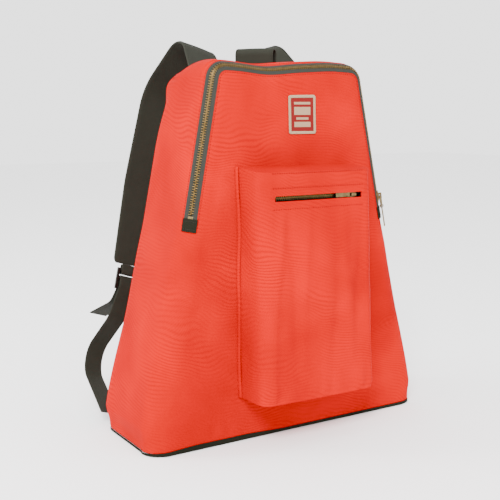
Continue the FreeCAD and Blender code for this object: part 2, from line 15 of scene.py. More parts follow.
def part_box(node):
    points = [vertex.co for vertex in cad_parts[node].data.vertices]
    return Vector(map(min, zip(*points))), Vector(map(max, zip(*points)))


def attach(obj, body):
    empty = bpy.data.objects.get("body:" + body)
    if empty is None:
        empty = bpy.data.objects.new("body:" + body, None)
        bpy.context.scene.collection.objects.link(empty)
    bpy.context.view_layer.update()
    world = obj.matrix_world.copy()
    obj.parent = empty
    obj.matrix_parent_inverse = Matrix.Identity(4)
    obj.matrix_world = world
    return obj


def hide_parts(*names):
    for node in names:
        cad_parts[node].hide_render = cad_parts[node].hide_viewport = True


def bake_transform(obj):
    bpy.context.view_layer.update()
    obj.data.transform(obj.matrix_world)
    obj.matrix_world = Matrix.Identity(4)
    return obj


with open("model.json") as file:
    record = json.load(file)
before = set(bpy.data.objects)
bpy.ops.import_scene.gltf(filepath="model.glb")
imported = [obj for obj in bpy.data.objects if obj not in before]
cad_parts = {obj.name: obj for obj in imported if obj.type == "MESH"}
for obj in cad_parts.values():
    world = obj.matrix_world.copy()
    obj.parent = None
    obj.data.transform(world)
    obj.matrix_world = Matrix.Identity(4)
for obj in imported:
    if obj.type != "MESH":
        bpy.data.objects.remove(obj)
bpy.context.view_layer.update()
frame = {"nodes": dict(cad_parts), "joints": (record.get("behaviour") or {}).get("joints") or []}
MM = 0.001
JOINTS = {joint["name"]: joint for joint in frame["joints"]}

# --- driving sizes, measured from the frame -----------------------------------------------------

HALF_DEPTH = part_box("back_panel")[1].y
YOKE_LOW, YOKE_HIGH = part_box("top_yoke")
PATCH_LOW, PATCH_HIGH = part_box("label_patch")
HINGE = Vector(JOINTS["flap_open"]["pos_m"])
LEAN = math.atan2(HINGE.y + HALF_DEPTH, HINGE.z)

EDGE_R = 24 * MM            # rounding of the bag's upright edges
FOOT_HALF = 200 * MM        # half the width at the floor, before rounding
SIDE_TILT = 0.2             # how far each side leans in per metre of height
FOOT_R = 8 * MM             # rounding where the cloth turns under at the base
CROWN = 448 * MM            # height of the front's top edge
SEAM_Y = YOKE_HIGH.y        # where the yoke meets the back panel
SEAM_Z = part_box("back_panel")[1].z
SIDE_SEAM = YOKE_LOW.z      # the yoke's end seams
SHOULDER = 345 * MM
ZIP_FOOT = 262 * MM
SHOWN_TAPE = 6.4 * MM       # how much tape the cloth leaves showing on each side of the zip's centre line
CLOTH = 1.2 * MM

TILT = math.atan(SIDE_TILT)
PATH_IN = EDGE_R * (1 - math.sqrt(0.5))


def front_to_row(x, n, s):
    """Front frame to row frame."""
    y = -HALF_DEPTH + n * math.cos(LEAN) + s * math.sin(LEAN)
    z = s * math.cos(LEAN) - n * math.sin(LEAN)
    return np.stack([x + 0 * y, y + 0 * x, z + 0 * x], -1)


# --- cloth relief: the same gentle swells move every sewn piece, so seams stay closed -----------

def smooth(value):
    value = np.clip(value, 0, 1)
    return value * value * (3 - 2 * value)


def hump(offset, width):
    """1 in the middle, fading away over a width."""
    return np.exp(-(offset / width) ** 2)


def unit(vectors):
    return vectors / np.maximum(np.linalg.norm(vectors, axis=-1, keepdims=True), 1e-12)


def length_along(points):
    return np.concatenate([[0], np.cumsum(np.linalg.norm(np.diff(points, axis=0), axis=1))])


def sampled(values, length, at):
    """Values known at lengths along a line, read at other lengths."""
    return np.stack([np.interp(at, length, column) for column in np.asarray(values).T], -1)


def facing_front(count):
    return np.tile([0, -1.0, 0], (count, 1))


def ripple(points, scale, seed):
    """A smooth wandering value between about -1 and 1 at each point."""
    p = np.asarray(points) / scale
    total = 0
    for index in range(5):
        a = seed * 1.7 + index * 2.399
        way = np.array([math.sin(a), math.cos(a * 1.3), math.sin(a * 0.7 + 1)])
        total = total + np.sin(p @ way * (1 + 0.37 * index) + a * 3.1) / (1 + 0.5 * index)
    return total / 2.2


def zip_distance(points):
    """Distance, in front view, from the main zip's line."""
    p = np.asarray(points)
    return np.abs(edge_inset(p[..., 0], p[..., 2]) - PATH_IN)


def edge_inset(x, z):
    """How far a point is inside the bag's outline in front view."""
    side = (FOOT_HALF - z * SIDE_TILT - np.abs(x)) * math.cos(TILT)
    top = CROWN + 7.5 * MM - z
    corner = (side < EDGE_R) & (top < EDGE_R)
    arc = EDGE_R - np.hypot(EDGE_R - side, EDGE_R - top)
    return np.where(corner, arc, np.minimum(side, top))


def settle(points):
    """Moves points of the cloth as the loaded bag's fabric swells and slackens."""
    p = np.array(points, float)
    x, y, z = p[..., 0], p[..., 1], p[..., 2]
    calm = np.clip(zip_distance(p) / (30 * MM), 0, 1) ** 1.5
    below = np.clip((ZIP_FOOT + 5 * MM - z) / (50 * MM), 0, 1)
    calm = np.maximum(calm, below ** 2 * (3 - 2 * below)) * np.clip(z / (30 * MM), 0.15, 1)
    front = np.clip((-y - 40 * MM) / (25 * MM), 0, 1) * np.clip(edge_inset(x, z) / (60 * MM), 0, 1)
    side = np.clip(1 - np.clip(np.abs(y) / (66 * MM), 0, 1) ** 2.5, 0, 1)
    belly = np.sin(np.clip((z - 20 * MM) / (400 * MM), 0, 1) * math.pi)
    swell = 2.2 * MM * ripple(p, 55 * MM, 1.0) + 1.0 * MM * ripple(p, 22 * MM, 4.0)
    outer = np.clip((np.abs(x) - 60 * MM) / (50 * MM), 0, 1)
    out_x = np.sign(x) * (side * (5.5 * MM * belly + swell) * outer)
    out_y = -front * (3.0 * MM * belly + 0.8 * swell)
    back = np.clip((y - 45 * MM) / (20 * MM), 0, 1)
    out_y = out_y + back * (4 * MM * belly * np.clip(edge_inset(x, z) / (80 * MM), 0, 1) + 0.5 * swell)
    low = hump(z - 34 * MM, 95 * MM) * np.clip(z / (22 * MM), 0.25, 1)
    out_x = out_x + np.sign(x) * 7.5 * MM * low * smooth((np.abs(x) - 90 * MM) / (90 * MM))
    out_y = out_y + 6 * MM * low * smooth((y - 20 * MM) / (45 * MM))
    p[..., 0] += out_x * calm
    p[..., 1] += out_y * calm
    high = smooth((z - 395 * MM) / (45 * MM)) * np.clip(1.1 - np.abs(y + 40 * MM) / (75 * MM), 0.25, 1)
    dip = 4.5 * MM * hump(x + 32 * MM, 34 * MM) - 2.2 * MM * hump(x - 62 * MM, 30 * MM)
    p[..., 2] -= high * dip
    return p


# --- meshes ---------------------------------------------------------------------------------------

def new_object(name, verts, faces, material, uvs=None, sharp=()):
    mesh = bpy.data.meshes.new(name)
    mesh.from_pydata([tuple(v) for v in verts], [], [tuple(f) for f in faces])
    mesh.polygons.foreach_set("use_smooth", [True] * len(mesh.polygons))
    if uvs is not None:
        layer = mesh.uv_layers.new(name="UVMap")
        index = np.zeros(len(mesh.loops), int)
        mesh.loops.foreach_get("vertex_index", index)
        layer.data.foreach_set("uv", np.asarray(uvs, np.float32)[index].ravel())
    if len(sharp):
        marked = np.zeros(len(verts), bool)
        marked[list(sharp)] = True
        ends = np.zeros(len(mesh.edges) * 2, int)
        mesh.edges.foreach_get("vertices", ends)
        ends = ends.reshape(-1, 2)
        both = marked[ends[:, 0]] & marked[ends[:, 1]]
        layer = mesh.attributes.new("sharp_edge", "BOOLEAN", "EDGE")
        layer.data.foreach_set("value", both)
    mesh.update()
    obj = bpy.data.objects.new(name, mesh)
    bpy.context.scene.collection.objects.link(obj)
    obj.data.materials.append(material)
    return obj


def grid_normals(points):
    along = np.gradient(points, axis=0)
    across = np.gradient(points, axis=1)
    return unit(np.cross(across, along))


def flat_uv(points):
    """Metric texture coordinates from the lengths of a grid's rows and columns."""
    rows = np.linalg.norm(np.diff(points, axis=0), axis=-1).mean(1)
    steps = np.linalg.norm(np.diff(points, axis=1), axis=-1)
    across = np.concatenate([np.zeros((len(points), 1)), np.cumsum(steps, 1)], 1)
    across -= across[:, across.shape[1] // 2][:, None]
    along = np.concatenate([[0], np.cumsum(rows)])
    return np.stack([across, np.broadcast_to(along[:, None], across.shape)], -1)


def sheet_mesh(name, points, material, thick=CLOTH, relief=None, outward=1, uv=None, keep=None):
    """A closed sheet of cloth with its outer face on a grid of points. outward flips the grid's normal.

    keep says which of the grid's faces are there.
    """
    points = np.asarray(points, float)
    normal = grid_normals(points) * outward
    uv = flat_uv(points) if uv is None else uv
    if relief is not None:
        points = points + normal * np.asarray(relief)[..., None]
        normal = grid_normals(points) * outward
    rows, columns = points.shape[:2]
    count = rows * columns
    verts = np.concatenate([points.reshape(-1, 3), (points - normal * thick).reshape(-1, 3)])
    uvs = np.concatenate([uv.reshape(-1, 2)] * 2)
    index = np.arange(count).reshape(rows, columns)
    a, b, c, d = index[:-1, :-1], index[:-1, 1:], index[1:, 1:], index[1:, :-1]
    kept = np.ones(a.shape, bool) if keep is None else keep
    outer = np.stack([q[kept] for q in ((a, b, c, d) if outward > 0 else (a, d, c, b))], -1)
    edges = np.concatenate([outer[:, [k, (k + 1) % 4]] for k in range(4)])
    codes = edges[:, 0] * count + edges[:, 1]
    alone = edges[~np.isin(edges[:, 1] * count + edges[:, 0], codes)]
    rim = np.stack([alone[:, 1], alone[:, 0], alone[:, 0] + count, alone[:, 1] + count], -1)
    faces = np.concatenate([outer, outer[:, ::-1] + count, rim])
    used = np.unique(faces)
    renumber = np.zeros(2 * count, int)
    renumber[used] = np.arange(len(used))
    border = np.unique(alone)
    sharp = renumber[np.concatenate([border, border + count])]
    return new_object(name, verts[used], renumber[faces], material, uvs[used], sharp)


def place_many(name, shape_verts, shape_faces, frames, material, uvs=None):
    """One mesh of many copies of a small shape, each in its own 4 by 3 frame: three axes and a place."""
    frames = np.asarray(frames)
    shape = np.asarray(shape_verts)
    verts = np.einsum("vk,nkj->nvj", shape, frames[:, :3]) + frames[:, 3][:, None]
    count = len(shape)
    faces = [[i + count * n for i in face] for n in range(len(frames)) for face in shape_faces]
    return new_object(name, verts.reshape(-1, 3), faces, material, uvs)


def capsule(length, radius, sides=6):
    """A short thread: a rounded rod along x."""
    spots = [(-0.5, 0.35), (-0.38, 0.85), (0, 1), (0.38, 0.85), (0.5, 0.35)]
    verts, faces = [], []
    for along, swell in spots:
        for side in range(sides):
            turn = 2 * math.pi * side / sides
            verts.append((along * length, swell * radius * math.cos(turn), swell * radius * math.sin(turn)))
    for row in range(len(spots) - 1):
        for side in range(sides):
            a, b = row * sides + side, row * sides + (side + 1) % sides
            faces.append((a, a + sides, b + sides, b))
    faces.append(tuple(range(sides)))
    faces.append(tuple(range((len(spots) - 1) * sides, len(spots) * sides))[::-1])
    return verts, faces


def resample(line, pitch, start=0.5):
    """Places along a polyline one pitch apart, with the direction there."""
    length = length_along(line)
    at = np.arange(start * pitch, length[-1], pitch)
    along = sampled(line, length, at + pitch * 0.2) - sampled(line, length, at - pitch * 0.2)
    return sampled(line, length, at), unit(along)


THREAD_RADIUS = 0.32 * MM
THREAD_RISE = 0.12 * MM


def stitches(name, line, normals, material, pitch=3.2 * MM, length=2.3 * MM):
    """A row of threads along a line on a surface. normals is one normal per point of the line."""
    spots, along = resample(line, pitch)
    up = sampled(normals, length_along(line), (np.arange(len(spots)) + 0.5) * pitch)
    up = unit(up - along * np.sum(up * along, 1, keepdims=True))
    frames = np.stack([along, np.cross(up, along), up, spots + up * THREAD_RISE], 1)
    return place_many(name, *capsule(length, THREAD_RADIUS), frames, material)


def finish_piece(obj, body, slot, *nodes):
    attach(obj, body)
    if nodes:
        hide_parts(*nodes)
    return obj


# --- the bag's surface ----------------------------------------------------------------------------

DOME_R, DOME_Y, DOME_Z = 124 * MM, -17.8 * MM, 330.3 * MM
SHOULDER_R = 164 * MM
TOP_C = 429.1 * MM          # centre height of the rounding along the front's top edge


def dome(y):
    return DOME_Z + np.sqrt(DOME_R ** 2 - (y - DOME_Y) ** 2)


def back_y(z):
    """The back panel's plane: upright, then curving forward to the yoke seam."""
    over = np.clip(np.asarray(z, float) - SHOULDER, 0, None)
    return HALF_DEPTH - SHOULDER_R + np.sqrt(SHOULDER_R ** 2 - over ** 2)


def half_width(reach, z, centre):
    """Half the width at a height, for a surface that stands reach outside the rounding's centre line."""
    low = z - reach * math.sin(TILT)
    straight = FOOT_HALF - low * SIDE_TILT - EDGE_R / math.cos(TILT) + reach * math.cos(TILT)
    corner_x = FOOT_HALF - centre * SIDE_TILT - EDGE_R / math.cos(TILT)
    arc = corner_x + np.sqrt(np.clip(reach ** 2 - np.clip(z - centre, 0, None) ** 2, 0, None))
    return np.where(low <= centre, straight, arc)


CORNER_X = float(half_width(0, TOP_C, TOP_C))


def foot_inset(z):
    """How far the cloth pulls in where it turns under at the base."""
    low = np.clip(FOOT_R - z, 0, FOOT_R)
    return FOOT_R - np.sqrt(FOOT_R ** 2 - low ** 2)


def front_depth(x, s):
    """Depth of the front's rounded surface behind its flat plane, at a place in front view."""
    line = FOOT_HALF - s * SIDE_TILT - EDGE_R / math.cos(TILT)
    beside = (np.abs(x) - line) * math.cos(TILT)
    above = s - TOP_C
    out = np.where((above > 0) & (np.abs(x) > CORNER_X), np.hypot(above, np.abs(x) - CORNER_X),
                   np.maximum(np.maximum(beside, above), 0))
    out = np.clip(out, 0, EDGE_R * 0.999)
    return EDGE_R - np.sqrt(EDGE_R ** 2 - out ** 2)


def front_points(x, s, lift=0):
    n = front_depth(x, s) + foot_inset(s) - lift
    shrink = 1 - foot_inset(s) / (190 * MM)
    return settle(front_to_row(x * shrink, n, s))


def spaced(low, high, step):
    return np.linspace(low, high, max(3, int(round((high - low) / step)) + 1))


def eased(low, high, count):
    """Values that crowd towards the high end, as the rows of a rounding do."""
    return low + (high - low) * np.sin(np.linspace(0, math.pi / 2, count))


EDGE_TURN = SHOWN_TAPE / EDGE_R
INNER_REACH = EDGE_R * math.sin(math.pi / 4 - EDGE_TURN)
STEP = 3.0 * MM


def seam_relief(distance, fold=6 * MM, puff=0.7 * MM, stitch=3.0 * MM):
    """A turned cloth edge: a puffed fold with a groove where the topstitch pulls it down."""
    edge = puff * np.clip(1 - distance / fold, 0, 1) ** 0.6 * np.clip(distance / (0.8 * MM), 0.3, 1)
    return edge - 0.45 * MM * hump(distance - stitch, 0.9 * MM)


def flap_edge_distance(x, s):
    """Distance from the cloth's turned edge beside the main zip, inside it, in front view."""
    inside = half_width(INNER_REACH, np.minimum(s, TOP_C), TOP_C) - np.abs(x)
    top = TOP_C + INNER_REACH - s
    corner = (s > TOP_C) & (np.abs(x) > CORNER_X)
    arc = INNER_REACH - np.hypot(s - TOP_C, np.abs(x) - CORNER_X)
    return np.maximum(np.where(corner, arc, np.minimum(inside * math.cos(TILT), top)), 0)


def front_grid(rows_s, edge_of):
    """Rows across the front between two mirrored edges."""
    count = 131
    share = np.linspace(-1, 1, count)
    share = np.sign(share) * (1 - (1 - np.abs(share)) ** 1.15)
    s = np.asarray(rows_s)[:, None] + 0 * share[None, :]
    x = edge_of(np.asarray(rows_s))[:, None] * share[None, :]
    return x, s


# --- materials ------------------------------------------------------------------------------------

class Nodes:
    """A small helper that builds a node material."""

    def __init__(self, name, roughness=0.5, metallic=0.0, sheen=0.0, specular=0.5, coat=0.0):
        self.material = bpy.data.materials.new(name)
        self.material.use_nodes = True
        self.tree = self.material.node_tree
        self.shader = self.tree.nodes["Principled BSDF"]
        for socket, value in (("Roughness", roughness), ("Metallic", metallic), ("Sheen Weight", sheen),
                              ("Specular IOR Level", specular), ("Coat Weight", coat)):
            self.shader.inputs[socket].default_value = value
        self.uv = self.add("ShaderNodeTexCoord").outputs["UV"]
        self.place = self.add("ShaderNodeTexCoord").outputs["Object"]

    def add(self, kind, **settings):
        node = self.tree.nodes.new(kind)
        for key, value in settings.items():
            setattr(node, key, value)
        return node

    def link(self, source, target):
        self.tree.links.new(source, target)

    def mapped(self, source, scale=(1, 1, 1), turn=0.0):
        node = self.add("ShaderNodeMapping")
        node.inputs["Scale"].default_value = scale
        node.inputs["Rotation"].default_value = (0, 0, turn)
        self.link(source, node.inputs["Vector"])
        return node.outputs["Vector"]

    def noise(self, source, scale, detail=3.0, distortion=0.0):
        node = self.add("ShaderNodeTexNoise")
        node.inputs["Scale"].default_value = scale
        node.inputs["Detail"].default_value = detail
        node.inputs["Distortion"].default_value = distortion
        self.link(source, node.inputs["Vector"])
        return node.outputs["Fac"]

    def wave(self, source, scale, distortion=0.0, detail=0.0, direction="X", detail_scale=1.0):
        node = self.add("ShaderNodeTexWave", bands_direction=direction)
        node.inputs["Scale"].default_value = scale
        node.inputs["Distortion"].default_value = distortion
        node.inputs["Detail"].default_value = detail
        node.inputs["Detail Scale"].default_value = detail_scale
        self.link(source, node.inputs["Vector"])
        return node.outputs["Fac"]

    def math(self, operation, first, second=None):
        node = self.add("ShaderNodeMath", operation=operation)
        for index, value in enumerate((first, second)):
            if value is None:
                continue
            if isinstance(value, (int, float)):
                node.inputs[index].default_value = value
            else:
                self.link(value, node.inputs[index])
        return node.outputs[0]

    def ramp(self, source, stops):
        node = self.add("ShaderNodeValToRGB")
        elements = node.color_ramp.elements
        while len(elements) < len(stops):
            elements.new(0.5)
        for element, (at, colour) in zip(elements, stops):
            element.position = at
            element.color = (*colour, 1)
        self.link(source, node.inputs["Fac"])
        return node.outputs["Color"]

    def mix(self, fac, first, second):
        node = self.add("ShaderNodeMix", data_type="RGBA")
        for name, value in (("Factor", fac), ("A", first), ("B", second)):
            socket = [item for item in node.inputs if item.name == name and
                      item.type == ("VALUE" if name == "Factor" else "RGBA")][0]
            if isinstance(value, (int, float)):
                socket.default_value = value
            elif isinstance(value, tuple):
                socket.default_value = (*value, 1)
            else:
                self.link(value, socket)
        return [item for item in node.outputs if item.type == "RGBA"][0]

    def finish(self, colour=None, roughness=None, height=None, strength=0.3, distance=0.2 * MM):
        if colour is not None:
            if isinstance(colour, tuple):
                self.shader.inputs["Base Color"].default_value = (*colour, 1)
            else:
                self.link(colour, self.shader.inputs["Base Color"])
        if roughness is not None:
            self.link(roughness, self.shader.inputs["Roughness"])
        if height is not None:
            bump = self.add("ShaderNodeBump")
            bump.inputs["Strength"].default_value = strength
            bump.inputs["Distance"].default_value = distance
            self.link(height, bump.inputs["Height"])
            self.link(bump.outputs["Normal"], self.shader.inputs["Normal"])
        return self.material


def nylon(name, base, dark, light):
    """Coated nylon twill: fine diagonal weave and soft wandering lines where its ribs catch the light."""
    n = Nodes(name, roughness=0.6, specular=0.015)
    n.shader.inputs["Specular Tint"].default_value = (*light, 1)
    shade = n.noise(n.place, 9.0, 3.0, 0.4)
    drift = n.noise(n.uv, 7.0, 2.0, 0.3)
    spread = n.add("ShaderNodeVectorMath", operation="ADD")
    lift = n.add("ShaderNodeCombineXYZ")
    n.link(n.math("MULTIPLY", drift, 0.10), lift.inputs["Y"])
    n.link(n.uv, spread.inputs[0])
    n.link(lift.outputs["Vector"], spread.inputs[1])
    lines = n.wave(n.mapped(spread.outputs["Vector"], (1, 1, 1), 0.22), 75.0, 0.9, 2.0, "Y", 3.0)
    fine = n.wave(n.mapped(spread.outputs["Vector"], (1, 1, 1), -0.30), 190.0, 0.6, 1.0, "Y", 3.0)
    twill = n.wave(n.mapped(n.uv, (1, 1, 1), 0.785), 420.0, 0.6, 1.0)
    patches = n.ramp(n.noise(n.uv, 16.0, 2.0), [(0.38, (0.15, 0.15, 0.15)), (0.62, (1, 1, 1))])
    colour = n.mix(n.ramp(shade, [(0.3, (0, 0, 0)), (0.65, (1, 1, 1))]), dark, base)
    streak = n.math("MULTIPLY", n.math("MULTIPLY", n.math("POWER", lines, 2.0), patches), 0.85)
    colour = n.mix(streak, colour, dark)
    colour = n.mix(n.math("MULTIPLY", fine, 0.16), colour, light)
    colour = n.mix(n.math("MULTIPLY", twill, 0.08), colour, dark)
    worn = n.math("ADD", n.math("MULTIPLY", shade, 0.12), 0.50)
    rough = n.math("ADD", n.math("MULTIPLY", lines, 0.10), worn)
    height = n.math("ADD", n.math("MULTIPLY", twill, 0.3), n.math("MULTIPLY", lines, -0.7))
    return n.finish(colour, rough, n.math("ADD", height, n.math("MULTIPLY", fine, 0.3)), 0.35, 0.2 * MM)


def webbing_material(name, dark, light, rib=260.0):
    """Woven webbing: ribs across the strap, a herringbone of warp threads and random lighter blotches."""
    n = Nodes(name, roughness=0.78, specular=0.12)
    ribs = n.wave(n.uv, rib, 1.2, 1.0, "Y")
    warp = n.wave(n.uv, rib * 1.25, 0.8, 1.0, "X")
    chevron = n.wave(n.mapped(n.uv, (1, 1, 1), 0.6), rib * 0.5, 0.8, 1.0)
    dust = n.noise(n.place, 90.0, 5.0)
    colour = n.mix(n.math("MULTIPLY", n.math("ADD", ribs, warp), 0.35), dark, light)
    colour = n.mix(n.math("MULTIPLY", dust, 0.35), colour, light)
    height = n.math("ADD", n.math("MULTIPLY", ribs, 0.8), n.math("MULTIPLY", chevron, 0.4))
    return n.finish(colour, None, n.math("ADD", height, n.math("MULTIPLY", warp, 0.4)), 0.5, 0.3 * MM)


def brass(name, base, worn, roughness=0.32):
    n = Nodes(name, roughness=roughness, metallic=1.0)
    tarnish = n.noise(n.place, 420.0, 5.0)
    colour = n.mix(n.ramp(tarnish, [(0.35, (0, 0, 0)), (0.7, (1, 1, 1))]), base, worn)
    rough = n.math("ADD", n.math("MULTIPLY", tarnish, 0.25), roughness - 0.08)
    return n.finish(colour, rough, n.noise(n.place, 1500.0, 2.0), 0.15, 0.05 * MM)


def thread(name, colour):
    n = Nodes(name, roughness=0.6, specular=0.1)
    twist = n.wave(n.mapped(n.place, (1, 1, 1), 0.8), 900.0, 1.0, 0.0)
    return n.finish(n.mix(n.math("MULTIPLY", twist, 0.5), colour, tuple(c * 0.7 for c in colour)),
                    None, twist, 0.3, 0.1 * MM)


ORANGE = nylon("orange_nylon", (0.43, 0.0010, 0.0001), (0.27, 0.0004, 0.0001), (0.56, 0.0030, 0.0002))
OLIVE = nylon("olive_nylon", (0.0125, 0.0130, 0.0085), (0.0080, 0.0085, 0.0055), (0.0200, 0.0200, 0.0140))
STRAP = webbing_material("olive_webbing", (0.0070, 0.0075, 0.0050), (0.0230, 0.0240, 0.0165))
TAPE_CLOTH = webbing_material("zip_tape", (0.0120, 0.0125, 0.0095), (0.0330, 0.0335, 0.0270), 420.0)
TEETH = brass("brass_teeth", (0.150, 0.090, 0.028), (0.270, 0.175, 0.065), 0.34)
HARDWARE = brass("aged_brass", (0.115, 0.078, 0.034), (0.220, 0.160, 0.075), 0.38)
THREAD = thread("orange_thread", (0.23, 0.0015, 0.0002))
DARK_THREAD = thread("dark_thread", (0.018, 0.018, 0.013))
CREAM_THREAD = thread("cream_thread", (0.34, 0.25, 0.15))


# --- the bag's cloth panels -----------------------------------------------------------------------

def corner_height(y):
    return np.where(y < -37.1 * MM, TOP_C, dome(y) - EDGE_R)


def squared(z):
    """The back's rounded edges sharpen to square corners towards the yoke seam."""
    return smooth((z - 392 * MM) / (40 * MM))


def side_column(side, turn_front, depth_share, turn_back, s):
    """One column of the side wall: on the front rounding, on the flat part or on the back rounding."""
    z = s * math.cos(LEAN) - EDGE_R * math.sin(LEAN)
    if turn_front is not None:
        n = EDGE_R * (1 - math.cos(turn_front))
        x = side * half_width(EDGE_R * math.sin(turn_front), s, TOP_C)
        return front_to_row(x, n + foot_inset(s), s)
    near = -HALF_DEPTH + EDGE_R * math.cos(LEAN) + s * math.sin(LEAN)
    far = back_y(z) - EDGE_R
    reach = EDGE_R
    if turn_back is None:
        y = near + (far - near) * depth_share
    else:
        square = squared(z)
        round_y = far + EDGE_R * math.cos(turn_back) - foot_inset(s)
        square_y = far + EDGE_R * (math.pi / 2 - turn_back) / (math.pi / 4)
        y = round_y + (square_y - round_y) * square
        reach = EDGE_R * (math.sin(turn_back) + (1 - math.sin(turn_back)) * square)
    x = side * (half_width(reach, z, corner_height(np.minimum(y, SEAM_Y))) - foot_inset(s))
    return np.stack([x + 0 * z, y + 0 * z, z], -1)


PANEL_LOW = 308 * MM        # the wrap's top edge in front, where the zipped front panel starts
SIDE_TOP = (SIDE_SEAM + EDGE_R * math.sin(LEAN)) / math.cos(LEAN)


def make_wrap():
    """Sides and lower front in one cloth: it goes round from one back seam to the other."""
    rows = np.concatenate([spaced(4 * MM, ZIP_FOOT, STEP)[:-1], spaced(ZIP_FOOT, PANEL_LOW, STEP)[:-1],
                           spaced(PANEL_LOW, SIDE_TOP, STEP)])
    zip_turn = math.pi / 4
    columns, away, zone = [], [], []
    side_columns = [(None, None, t) for t in np.linspace(zip_turn, math.pi / 2, 7)[:-1]]
    side_columns += [(None, share, None) for share in np.linspace(1, 0, 34)[:-1]]
    side_columns += [(t, None, None) for t in np.linspace(math.pi / 2, zip_turn + EDGE_TURN, 8)]
    tape_turns = np.linspace(zip_turn + EDGE_TURN, zip_turn - EDGE_TURN, 6)[1:-1]

    def add(side, spec, kind):
        columns.append(side_column(side, *spec, rows))
        turn = spec[0] if spec[0] is not None else math.pi / 2
        away.append(np.full(len(rows), abs(turn - zip_turn - EDGE_TURN) * EDGE_R if kind else 0.02))
        zone.append(kind)

    for spec in side_columns:
        add(-1, spec, 1)
    for turn in tape_turns:
        add(-1, (turn, None, None), 0)
    x, s = front_grid(rows, lambda v: half_width(INNER_REACH, v, TOP_C))
    front, inside = front_points(x, s), flap_edge_distance(x, s)
    left = np.stack(columns, 1)
    right = left[:, ::-1] * np.array([-1, 1, 1])
    points = np.concatenate([settle(left), front, settle(right)], 1)
    edge = np.stack(away, 1)
    distance = np.concatenate([edge, inside, edge[:, ::-1]], 1)
    kinds = np.array(zone)
    on_side = np.concatenate([kinds == 1, np.zeros(x.shape[1], bool), (kinds == 1)[::-1]])
    on_front = np.zeros(len(on_side), bool)
    on_front[len(kinds):-len(kinds)] = True
    fade = smooth((rows - ZIP_FOOT + 10 * MM) / (10 * MM))[:, None]
    relief = seam_relief(distance) * fade * (on_side | on_front)
    relief = relief + base_gathers(points) * on_front[None, :]
    face_side = on_side[:-1] & on_side[1:]
    face_front = on_front[:-1] & on_front[1:]
    row_mid = ((rows[:-1] + rows[1:]) / 2)[:, None]
    keep = (row_mid < ZIP_FOOT) | face_side | (face_front & (row_mid < PANEL_LOW))
    wrap = sheet_mesh("body_wrap_cloth", points, ORANGE, relief=relief, keep=keep)
    finish_piece(wrap, "bag", "body_cloth", "body_wrap")
    return points


def base_gathers(points):
    """Small puckers above the base seam."""
    x, z = points[..., 0], points[..., 2]
    near = np.exp(-np.clip(z - 4 * MM, 0, None) / (16 * MM))
    pull = hump(x + 110 * MM, 32 * MM) + 0.35 * hump(x - 120 * MM, 40 * MM) + 0.15
    folds = np.sin(x / (4.6 * MM) + 1.5 * np.sin(x / (17 * MM)))
    return 1.6 * MM * near * pull * smooth((z - 8 * MM) / (9 * MM)) * folds


def make_flap():
    """The front panel from just below its fold up to the zip, across the hinge line."""
    rows = np.concatenate([spaced(PANEL_LOW, TOP_C, STEP)[:-1], eased(TOP_C, TOP_C + INNER_REACH, 9)])
    x, s = front_grid(rows, lambda v: half_width(INNER_REACH, v, TOP_C))
    points = front_points(x, s)
    flap = sheet_mesh("front_flap_cloth", points, ORANGE, relief=seam_relief(flap_edge_distance(x, s)))
    bend_with_flap(flap)
    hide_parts("front_flap")


def bend_with_flap(piece):
    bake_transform(piece)


def arch(reach, centre, count):
    """Across the top: up from the left seam, round the corner, straight over and down the other side."""
    corner = float(half_width(0, centre, centre))
    start = math.asin(max(min((SIDE_SEAM - centre) / reach, 1), -1))
    turns = np.linspace(start, math.pi / 2, 12)
    left = np.stack([-(corner + reach * np.cos(turns)), centre + reach * np.sin(turns)], -1)
    share = np.linspace(0, 1, count)[1:-1, None]
    right = left[::-1] * np.array([-1, 1])
    return np.concatenate([left, left[-1] + (right[0] - left[-1]) * share, right])


def make_yoke():
    lines, away = [], []
    turns = np.linspace(math.pi / 4 + EDGE_TURN, math.radians(81), 7)
    for turn in turns:
        line = arch(EDGE_R * math.sin(turn), TOP_C, 58)
        lines.append(front_to_row(line[:, 0], EDGE_R * (1 - math.cos(turn)), line[:, 1]))
        away.append((turn - turns[0]) * EDGE_R)
    for y in spaced(-36.4 * MM, SEAM_Y, STEP):
        line = arch(EDGE_R, float(dome(y)) - EDGE_R, 58)
        reach_back = (back_y(np.minimum(line[:, 1], SEAM_Z)) - SEAM_Y) * smooth(y / SEAM_Y)
        lines.append(np.stack([line[:, 0], y + reach_back, line[:, 1]], -1))
        away.append(0.02)
    points = settle(np.stack(lines))
    relief = seam_relief(np.array(away))[:, None] + 0 * points[..., 0]
    back = SEAM_Y - points[..., 1]
    relief = relief + np.where(back < 6 * MM, seam_relief(np.clip(back, 0, None)), 0)
    yoke = sheet_mesh("top_yoke_cloth", points, ORANGE, relief=relief)
    finish_piece(yoke, "bag", "body_cloth", "top_yoke")


def make_back():
    rows = np.concatenate([spaced(4 * MM, SIDE_SEAM, 3.6 * MM)[:-1], spaced(SIDE_SEAM, SEAM_Z, 2 * MM)])
    columns = []
    turns = np.linspace(math.pi / 4, 0, 8)
    shares = np.linspace(-1, 1, 80)[1:-1]
    for side, angles in ((-1, turns), (0, shares), (1, turns[::-1])):
        for value in angles:
            square = squared(rows)
            round_reach = EDGE_R * math.sin(value) if side else 0
            reach = round_reach + (EDGE_R * value / (math.pi / 4) - round_reach) * square if side else 0
            y = back_y(rows) - (EDGE_R * (1 - math.cos(value)) * (1 - square) if side else 0)
            centre = float(dome(SEAM_Y)) - EDGE_R
            wide = half_width(reach, rows, centre)
            columns.append(np.stack([wide * (side or value), y - foot_inset(rows), rows], -1))
    points = settle(np.stack(columns, 1))
    back = sheet_mesh("back_panel_cloth", points, ORANGE, outward=-1)
    finish_piece(back, "bag", "body_cloth", "back_panel")


